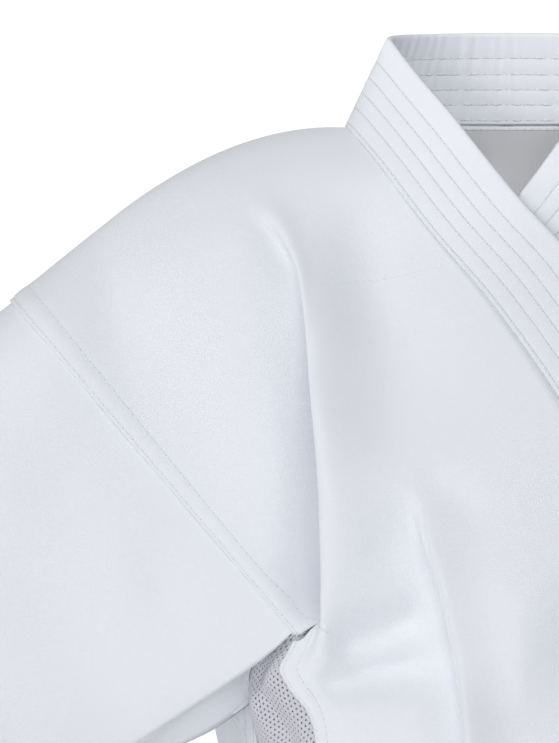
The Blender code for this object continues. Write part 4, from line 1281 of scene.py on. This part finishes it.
def on_grid(grid, u, v):
    """Points at any column u and row v: the four nearest, blended by s across and t down."""
    column = np.clip(np.floor(u).astype(int), 0, grid.shape[1] - 2)
    row = np.clip(np.floor(v).astype(int), 0, grid.shape[0] - 2)
    s, t = (u - column)[..., None], (v - row)[..., None]
    upper = grid[row, column] * (1 - s) + grid[row, column + 1] * s
    lower = grid[row + 1, column] * (1 - s) + grid[row + 1, column + 1] * s
    return upper * (1 - t) + lower * t


def net_surface(front, back, inset):
    """The inset between two more columns, at set distances inside the front's and the back's edge."""
    first, last = ROWS_TO_ARMPIT, ROWS_TO_ARMPIT + ROWS_TO_VENT
    sunk = inset + grid_normals(inset) * NET_SUNK
    at_corner = np.exp(-((np.arange(len(front)) - first) / CORNER_ROWS) ** 2)[:, None]
    below = at_distance(front, NET_UNDER_CORNER) * at_corner + at_distance(front, NET_UNDER) * (1 - at_corner)
    below = below - grid_normals(front)[:, 5] * (1.5 + 1.5 * at_corner)
    behind = at_distance(back, NET_UNDER) + grid_normals(back)[:, 5] * 1.3
    return np.hstack([below[first : last + 1, None], sunk, behind[first : last + 1, None]])


for side, word in WORD.items():
    wide = net_surface(FRONTS[side], BACKS[side], INSETS[side])
    run, down = lengths(wide, 1), lengths(wide, 0)
    width, length = run[:, -1].mean(), down[-1].mean()
    flat, faces, cut_width, cut_length = net_cells(width, length)
    u = np.interp(flat[:, 0] * width / cut_width, run.mean(0), np.arange(wide.shape[1]))
    v = np.interp(flat[:, 1] * length / cut_length, down.mean(1), np.arange(wide.shape[0]))
    net = on_grid(wide, u, v)
    piece = mesh_object("net_" + word, net, faces[:, ::-1], flat, [NET_PAINTED_SHADE], side, NET_WALL)
    keep("mesh_" + word)
    print(piece.name, len(faces) // 8, "holes on", round(width), "by", round(length), "mm,",
          round(area(net, faces), 4), "square metres")

# %% [markdown]
# ## The collar band's middle
# The band is the jacket's stiffest piece: many layers of cloth folded over and sewn together in rows.
# Stiff as it is, it lies straight from its seam to its free edge, so two lines carry its whole surface.
# It starts at the centre back and runs round the neck and down the front to the hem, in steps short
# enough for its puckers.

# %% Band middle
BAND_STEP = 1.7


def band_grid(front, back, side):
    """seam * (1 - share) + edge * share for nine shares, read again at even steps along the band."""
    lapel = LAPEL_OVER if side < 0 else LAPEL_UNDER
    seam = np.vstack([back[0, len(front[0]) :][::-1], front[:, -1]])
    neck_share = np.linspace(0, 1, COLUMNS_AT_NECK + 1)[1:][::-1]
    names = ("edge_x", "edge_y", "edge_down")
    round_neck = points(*(read(NECK, name, neck_share, by="share") for name in names))
    seam_down = np.concatenate([-ARMPIT_FRONT[2] * row_shares(), levels(-ARMPIT_FRONT[2])[1:]])
    x, y, down = band_edge(lapel, seam_down)
    edge = np.vstack([round_neck, points(x, y + tuck(x, down, side), down)])
    share = np.linspace(0, 1, 9)[None, :, None]
    grid = seam[:, None] * (1 - share) + edge[:, None] * share
    run = lengths((seam + edge)[:, None] / 2, 0)[:, 0]
    at = np.linspace(0, run[-1], int(run[-1] / BAND_STEP))
    return through(run, grid, at), at


BANDS = {side: band_grid(FRONTS[side], BACKS[side], side) for side in (-1, 1)}
print("the right band is", round(BANDS[-1][1][-1]), "mm long from the centre back to the hem")

# %% [markdown]
# ## The collar band
# Each row of stitches pulls the layers down into a groove, and the cloth swells between them. A closed
# outline of the band's cut end, with its grooves and its round folded edge, is carried along the band.
# Because the layers never lie quite even, the swelling also puckers along the way, and inside the neck,
# where the band is bent, the cloth gathers. A flat strip with a groove texture would have no thickness
# where the lapel's edge is seen.

# %% Collar band
BAND_HALF = 2.0
ROWS_FROM_SEAM = (2.5, 11.6, 20.3, 29.0, 38.4)
GROOVE = 0.26
LANE_WIDTH = 8.8
NECK_REACH = 230.0
GATHER = 0.34


def band_profile():
    """Height is BAND_HALF less a bell at each row, rounded at the edge; the lower side is its negative."""
    marks = [0.0, 0.7]
    for row in ROWS_FROM_SEAM:
        marks += [row - 0.9, row, row + 0.9, row + 4.4]
    marks += [46.0, 49.0, 51.0, 52.2, 53.0]
    face = np.array(marks)
    groove = sum(np.exp(-(((face - row) / 0.8) ** 2)) for row in ROWS_FROM_SEAM)
    edge_round = np.sqrt(1 - np.clip((face - 50.8) / 2.2, 0, 1) ** 2)
    height = (BAND_HALF - GROOVE * groove) * edge_round
    height[0] = BAND_HALF - 0.5
    back = slice(-2, None, -1)
    distance = np.concatenate([face, face[back]])
    swell = 1 - np.concatenate([groove, groove[back]])
    return distance, np.concatenate([height, -height[back]]), swell


def band_unevenness(run, distance, height, swell):
    """Sines along the run whose phase wanders, different in each lane between rows; gathers inside."""
    run, lane = run[:, None], np.floor(distance / LANE_WIDTH)[None]
    uneven = 0.2 * np.sin(run * 0.93 + 2.2 * np.sin(run * 0.081 + lane) + 1.9 * lane)
    uneven = uneven * (0.55 + 0.45 * np.sin(run * 0.19 + 0.7 * lane)) * swell * 0.5
    inside = (height < 0)[None] * np.exp(-((run / NECK_REACH) ** 4))
    gathers = GATHER * np.sin(run * 0.72 + 1.6 * np.sin(run * 0.11) + distance[None] * 0.02)
    return uneven + inside * gathers * (0.6 + 0.4 * np.sin(run * 0.27 + 0.9))


def band_surface(middle, run):
    """The middle surface plus its normal times the outline's height and unevenness, all round."""
    distance, height, swell = band_profile()
    u = np.clip(distance / BAND_WIDTH, 0, 1) * 8
    rows_at = np.arange(len(middle), dtype=float)[:, None] + 0 * u[None]
    columns_at = np.broadcast_to(u, rows_at.shape)
    normals = on_grid(grid_normals(middle), columns_at, rows_at)
    normals /= np.linalg.norm(normals, axis=-1, keepdims=True)
    thick = np.clip(np.abs(height) / 1.6, 0, 1)
    out = height + np.sign(height) * band_unevenness(run, distance, height, swell) * thick
    return on_grid(middle, columns_at, rows_at) + normals * out[..., None]


for side, word in WORD.items():
    band = band_surface(*BANDS[side])
    faces = grid_faces(*band.shape[:2], around=True)
    across = np.broadcast_to(np.arange(band.shape[1]) * 2.0, band.shape[:2])
    place = np.stack([across, lengths(band, 0)], axis=-1)
    piece = mesh_object("collar_band_" + word, band, faces, place, [BAND], side)
    keep("collar_" + word)
    print(piece.name, len(faces), "faces")

# %% [markdown]
# ## The label in the neck
# Inside the back of the neck hangs a small label of white satin. It could be a flat card, but it is sewn
# on by its top edge only, so it follows the back with a slight wave of its own. It is set a few
# millimetres in front of the back, to keep it clear of the cloth behind it.

# %% Label
LABEL_WIDTH = 66.0
LABEL_HEIGHT = 50.0
LABEL_WALL = 0.5
LABEL_AWAY = 3.3


def label_points(back):
    """Centre line plus |share| * reach to a column beside it, x = half width * share, swayed by a sine."""
    beside, centre = back[:, -3], back[:, -1]
    run = lengths(centre[:, None], 0)[:, 0]
    at = 1.5 + np.linspace(0, LABEL_HEIGHT, 26)
    columns = np.linspace(-1, 1, 31)
    middle, near = (
        np.stack([np.interp(at, run, line[:, k]) for k in range(3)], axis=1) for line in (centre, beside)
    )
    reach = (near - middle) * (LABEL_WIDTH / 2 / np.abs(near[:, :1]))
    grid = middle[:, None] + reach[:, None] * np.abs(columns)[None, :, None]
    grid[..., 0] = LABEL_WIDTH / 2 * columns[None]
    sway = 0.5 * np.sin(columns * 4.1 + 0.6)[None] * ease(np.linspace(0, 1, 26) / 0.6)[:, None]
    grid[..., 1] -= LABEL_AWAY + sway
    return grid


label = label_points(BACKS[-1])
faces = grid_faces(*label.shape[:2])
piece = mesh_object("bare_label", label, faces, cloth_map(label), [LABEL], -1, LABEL_WALL)
keep("size_label")
print("label", LABEL_WIDTH, "by", LABEL_HEIGHT, "mm")

# %% [markdown]
# ## The ties
# Two flat ties, sewn from folded strips of the same cotton, hold the fronts together at the wearer's left
# side. A bent box would have hard edges, so each is a ribbon carried along a smooth path, a little domed
# and swaying, with its thickness from the Solidify modifier.

# %% Ties
TIE_WIDTH = 18.0
TIE_WALL = 2.0
TIE_STEPS = 46
TIE_DOWN = 430.0
KNOT = np.array([22.0, 14.0, 24.0])
KNOT_PLACE = np.array([147.0, -60.0, -TIE_DOWN])
FORWARD = np.array([-0.51, -0.86, 0.0])
OUTWARD = np.array([0.86, -0.51, 0.0])
TIES = {}


def ribbon(name, node_name, path, across, twist):
    """Point = path + share * across, moved out by twist * share * sin(7 * run) and a slight dome."""
    line = through(np.linspace(0, 1, len(path)), np.array(path, float), np.linspace(0, 1, TIE_STEPS))
    share = np.linspace(-0.5, 0.5, 11)
    run = np.linspace(0, 1, TIE_STEPS)
    grid = line[:, None] + share[None, :, None] * np.asarray(across, float)
    out = grid_normals(grid)
    sway = twist * np.sin(run * 7.0 + 1.2)[:, None] * share[None] + 0.35 * np.cos(share * np.pi)[None]
    grid = grid + out * (sway * ease(run / 0.15)[:, None] * ease((1 - run) / 0.1)[:, None])[..., None]
    TIES[name] = grid
    made = mesh_object(name, grid, grid_faces(*grid.shape[:2]), cloth_map(grid), [BAND], -1, TIE_WALL)
    keep(node_name)


upright = [0, 0, TIE_WIDTH]
end = KNOT[0] / 2 - 3.0
ribbon("tie_to_front", "tie_front",
       [(127.1, -77.9, -TIE_DOWN), (134.5, -75.0, -TIE_DOWN), KNOT_PLACE + FORWARD * end], upright, 0.6)
ribbon("tie_to_side", "tie_side",
       [(150.2, -33.0, -TIE_DOWN), (154.2, -42.0, -TIE_DOWN), KNOT_PLACE - FORWARD * end], upright, 0.6)
FALLS = np.array([KNOT[2] / 2 - 3.0, 50.0, 100.0, 160.0])
for name, sign, out, lean in (
    ("tie_tail_a", 1, (-2.4, 8, 20, 33), (0, 4, 11, 22)),
    ("tie_tail_b", -1, (2.4, 14, 27, 41), (0, 3, 8, 15)),
):
    path = [KNOT_PLACE + OUTWARD * o + sign * FORWARD * s - [0, 0, f] for o, s, f in zip(out, lean, FALLS)]
    ribbon(name + "_cloth", name, path, -FORWARD * TIE_WIDTH, 2.4)
print("ties:", sorted(TIES))

# %% [markdown]
# ## The knot
# The knot is too small and too tangled to tie from real strips, and hardly seen. What the eye catches is
# a soft lump with one turn of the tie wrapped round it, so that is what it gets: a rounded shape, swollen
# unevenly, with a raised band.

# %% Knot
def knot_points():
    """An oval of angles a and b swollen by 1 + 0.09 sin(3a + 2b) + 0.05 sin(5a - 3b), plus a wrap."""
    a = np.linspace(0, 2 * np.pi, 57)[:-1][None]
    b = np.linspace(0.06, np.pi - 0.06, 40)[:, None]
    swell = 1 + 0.09 * np.sin(3 * a + 2 * b) + 0.05 * np.sin(5 * a - 3 * b)
    wrap = 0.16 * np.exp(-(((np.cos(b) - 0.25 * np.sin(a)) / 0.42) ** 4))
    size = (swell + wrap)[..., None] * 0.46 * KNOT
    ring = np.sin(b) ** 0.8
    unit = np.stack(np.broadcast_arrays(np.cos(a) * ring, np.sin(a) * ring, np.cos(b)), axis=-1)
    local = unit * size
    level = KNOT_PLACE + local[..., :1] * FORWARD + local[..., 1:2] * OUTWARD
    return level + local[..., 2:] * [0, 0, 1]


knot = knot_points()
faces = grid_faces(*knot.shape[:2], around=True)
piece = mesh_object("tie_knot_cloth", knot, faces, cloth_map(knot), [BAND], -1)
keep("tie_knot")
print("the knot is", len(knot), "rings of", knot.shape[1], "points")

# %% [markdown]
# ## Places along a seam
# Up close the stitches are what makes cloth look sewn: short threads sunk into the cloth, about 4 mm
# long. They could be drawn on as a dashed line, but then they would not catch the light. The lines come
# from the panels themselves, at set distances from their edges, so the stitches sit exactly in the
# grooves made for them. Here each line is cut into equal stitches.

# %% Seam places
STITCH = 4.3
BODY_TOP = CLOTH_WALL / 2


def stitch_line(line, normals, lift, end=None):
    """Even steps of the running length, lifted along the normals: starts, ends and normals of stitches."""
    run = lengths(line[:, None], 0)[:, 0]
    last = run[-1] if end is None else min(end, run[-1])
    edges = np.linspace(0, last, max(int(last / STITCH), 1) + 1)
    at = np.stack([np.interp(edges, run, line[:, k]) for k in range(3)], axis=1)
    up = np.stack([np.interp(edges, run, normals[:, k]) for k in range(3)], axis=1)
    at = at + up * lift
    return at[:-1], at[1:], (up[:-1] + up[1:]) / 2


def on_sheet(grid, normals, x, down):
    """y on the tangent planes of the four nearest points, weighted by one over their distance."""
    flat, up = grid.reshape(-1, 3), normals.reshape(-1, 3)
    gap = np.hypot(flat[None, :, 0] - x[:, None], -flat[None, :, 2] - down[:, None])
    nearest = np.argsort(gap, axis=1)[:, :4]
    weight = 1 / (np.take_along_axis(gap, nearest, 1) + 0.05)
    weight = weight / weight.sum(1, keepdims=True)
    near, way = flat[nearest], up[nearest]
    run = (x[:, None] - near[..., 0]) * way[..., 0] + (-down[:, None] - near[..., 2]) * way[..., 2]
    y = ((near[..., 1] - run / way[..., 1]) * weight).sum(1)
    return np.stack([x, y, -down], axis=1), (way * weight[..., None]).sum(1)


print("a seam of 300 mm gets", int(300 / STITCH), "stitches")

# %% [markdown]
# ## Threads and needle holes
# One small thread shape, a four-sided spindle, is repeated along every line, with a needle hole between
# one and the next: a flat dark disc of painted shade, standing for the shade inside the hole, because the
# holes are what shows first on white cloth. All threads of a piece are worked out at once: the same ten
# points, turned and stretched to each stitch.

# %% Threads
THREAD_HALF = 0.36
HOLE_SHADE_LIFT = 0.08


def stitches(name, lines, side):
    """Ten thread points at middle + a * size * way + b * beside + c * up; a painted hole shade of four points
    at each start.
    """
    first, second, up = (np.concatenate(part) for part in zip(*lines))
    way = second - first
    size = np.linalg.norm(way, axis=1, keepdims=True)
    way = way / np.maximum(size, 1e-9)
    up = up - (up * way).sum(1, keepdims=True) * way
    up /= np.maximum(np.linalg.norm(up, axis=1, keepdims=True), 1e-9)
    beside = np.cross(way, up)
    middle = (first + second) / 2
    shape = [(-0.44, 0, -0.9)]
    for along in (-0.27, 0.27):
        shape += [(along, 1, -0.1), (along, 0, 0.75), (along, -1, -0.1), (along, 0, -0.9)]
    shape += [(0.44, 0, -0.9)]
    shape = np.array(shape)
    threads = (middle[:, None] + shape[None, :, :1] * (way * size)[:, None]
               + shape[None, :, 1:2] * THREAD_HALF * beside[:, None]
               + shape[None, :, 2:] * THREAD_HALF * up[:, None])
    ring = np.arange(4)
    after = (ring + 1) % 4
    sides = np.stack([1 + ring, 5 + ring, 5 + after, 1 + after], axis=1)
    starts = np.stack([0 * ring, 1 + ring, 1 + after, 0 * ring], axis=1)[:, :3]
    ends = np.stack([9 + 0 * ring, 5 + after, 5 + ring], axis=1)
    count = len(threads)
    base = np.arange(count)[:, None, None] * 10
    tris = np.vstack([starts, ends])
    halves = np.stack([sides[:, 0], sides[:, 1], sides[:, 2]], axis=1)
    others = np.stack([sides[:, 0], sides[:, 2], sides[:, 3]], axis=1)
    faces = (base + np.vstack([tris, halves, others])).reshape(-1, 3)
    # Each needle hole is a flat dark disc of painted shade, lifted just above the cloth.
    hole_shade_shape = np.array([(-1.3, 0), (0, -0.8), (1.3, 0), (0, 0.8)]) * THREAD_HALF
    holes = (first[:, None] + hole_shade_shape[None, :, :1] * way[:, None]
             + hole_shade_shape[None, :, 1:] * beside[:, None] + HOLE_SHADE_LIFT * up[:, None])
    hole_shade_ids = 10 * count + np.arange(count)[:, None] * 4
    hole_shade_faces = np.concatenate([hole_shade_ids + [0, 1, 2], hole_shade_ids + [0, 2, 3]])
    kinds = np.concatenate([np.zeros(len(faces)), np.ones(len(hole_shade_faces))]).astype(np.int32)
    cloth_points = np.vstack([threads.reshape(-1, 3), holes.reshape(-1, 3)])
    place = np.stack([cloth_points[:, 0] + cloth_points[:, 1], cloth_points[:, 2]], axis=1)
    faces = np.vstack([faces, hole_shade_faces])
    piece = mesh_object(name, cloth_points, faces, place, [THREAD, PAINTED_HOLE_SHADE], side, kinds=kinds)
    print(name, count, "stitches")


print("each stitch is a thread of 10 points and a hole of 4")

# %% [markdown]
# ## The body's stitches
# The body's seams are sewn twice along the armhole and the net, the hem twice, and one faint row crosses
# the front below the shoulder, where such jackets are lined. The first two follow the grid's columns and
# rows; the last is a free line, so it is laid on to the sheet from the front.

# %% Body stitches
SEAM_ROWS = ((2.0, 2), (10.5, 6))
HEM_ROWS = (-7, -2)
YOKE_SUNK = 0.12
YOKE = table("x down", (-123, 96), (-100, 94.5), (-78, 92.5), (-55, 88), (-34, 82), (-20, 78))


def body_lines(front, back):
    """The lines down the edges, along the hem, and across the front through the yoke's table."""
    front_up, back_up = grid_normals(front), -grid_normals(back)
    lines = []
    for distance, column in SEAM_ROWS:
        lines.append(stitch_line(front[:, column], front_up[:, column], BODY_TOP))
        lines.append(stitch_line(at_distance(back, distance), back_up[:, 3], BODY_TOP + 0.2))
    for row in HEM_ROWS:
        lines.append(stitch_line(front[row], front_up[row], BODY_TOP))
        lines.append(stitch_line(back[row], back_up[row], BODY_TOP))
    share, knots = np.linspace(0, 1, 60), np.linspace(0, 1, len(YOKE["x"]))
    yoke_x, yoke_down = through(knots, YOKE["x"], share), through(knots, YOKE["down"], share)
    lines.append(stitch_line(*on_sheet(front, front_up, yoke_x, yoke_down), BODY_TOP - YOKE_SUNK))
    return lines


print("the right body is sewn along", len(body_lines(SEWN_FRONTS[-1], SEWN_BACKS[-1])), "lines")

# %% [markdown]
# ## All the seams are sewn
# The cuff is sewn twice all round. The band has its five rows on the outside, and on the inside as far as
# the neck shows them. The label is sewn along its top, and each tie along both edges. Each line is read
# from the surface it is sewn into, as before.

# %% Sewing
CUFF_ROWS = (3.0, 25.0)
INSIDE_END = 420.0
LABEL_TOP = 0.3
TIE_TOP = TIE_WALL / 2


def cuff_lines(sleeve):
    """The rings whose mean distance from the cuff's edge is nearest to each row's, closed."""
    up = grid_normals(sleeve, around=True)
    from_edge = lengths(sleeve[::-1], 0).mean(1)[::-1]
    lines = []
    for row in CUFF_ROWS:
        ring = int(np.argmin(np.abs(from_edge - row)))
        closed, closed_up = (np.vstack([grid[ring], grid[ring, :1]]) for grid in (sleeve, up))
        lines.append(stitch_line(closed, closed_up, BODY_TOP))
    return lines


def band_lines(middle):
    """For each row of the band, one line above the middle surface and a shorter one below it."""
    middle_up = grid_normals(middle)
    v = np.arange(len(middle), dtype=float)
    lines = []
    for row in ROWS_FROM_SEAM:
        u = np.full(len(middle), row / BAND_WIDTH * 8)
        line, up = on_grid(middle, u, v), on_grid(middle_up, u, v)
        lines.append(stitch_line(line, up, BAND_HALF - 0.1))
        lines.append(stitch_line(line, -up, BAND_HALF - 0.1, end=INSIDE_END))
    return lines


for side, word in WORD.items():
    stitches("body_stitches_" + word, body_lines(SEWN_FRONTS[side], SEWN_BACKS[side]), side)
    stitches("cuff_stitches_" + word, cuff_lines(SLEEVES[side]), side)
    stitches("band_stitches_" + word, band_lines(BANDS[side][0]), side)
label_up = -grid_normals(label)
label_facing = np.where(label_up[..., 1:2] > 0, -label_up, label_up)
stitches("label_stitches", [stitch_line(label[1], label_facing[1], LABEL_TOP)], -1)
tie_lines = []
for grid in TIES.values():
    up = grid_normals(grid)
    for facing in (1, -1):
        for column in (1, -2):
            tie_lines.append(stitch_line(grid[:, column], up[:, column] * facing, TIE_TOP))
stitches("tie_stitches", tie_lines, -1)
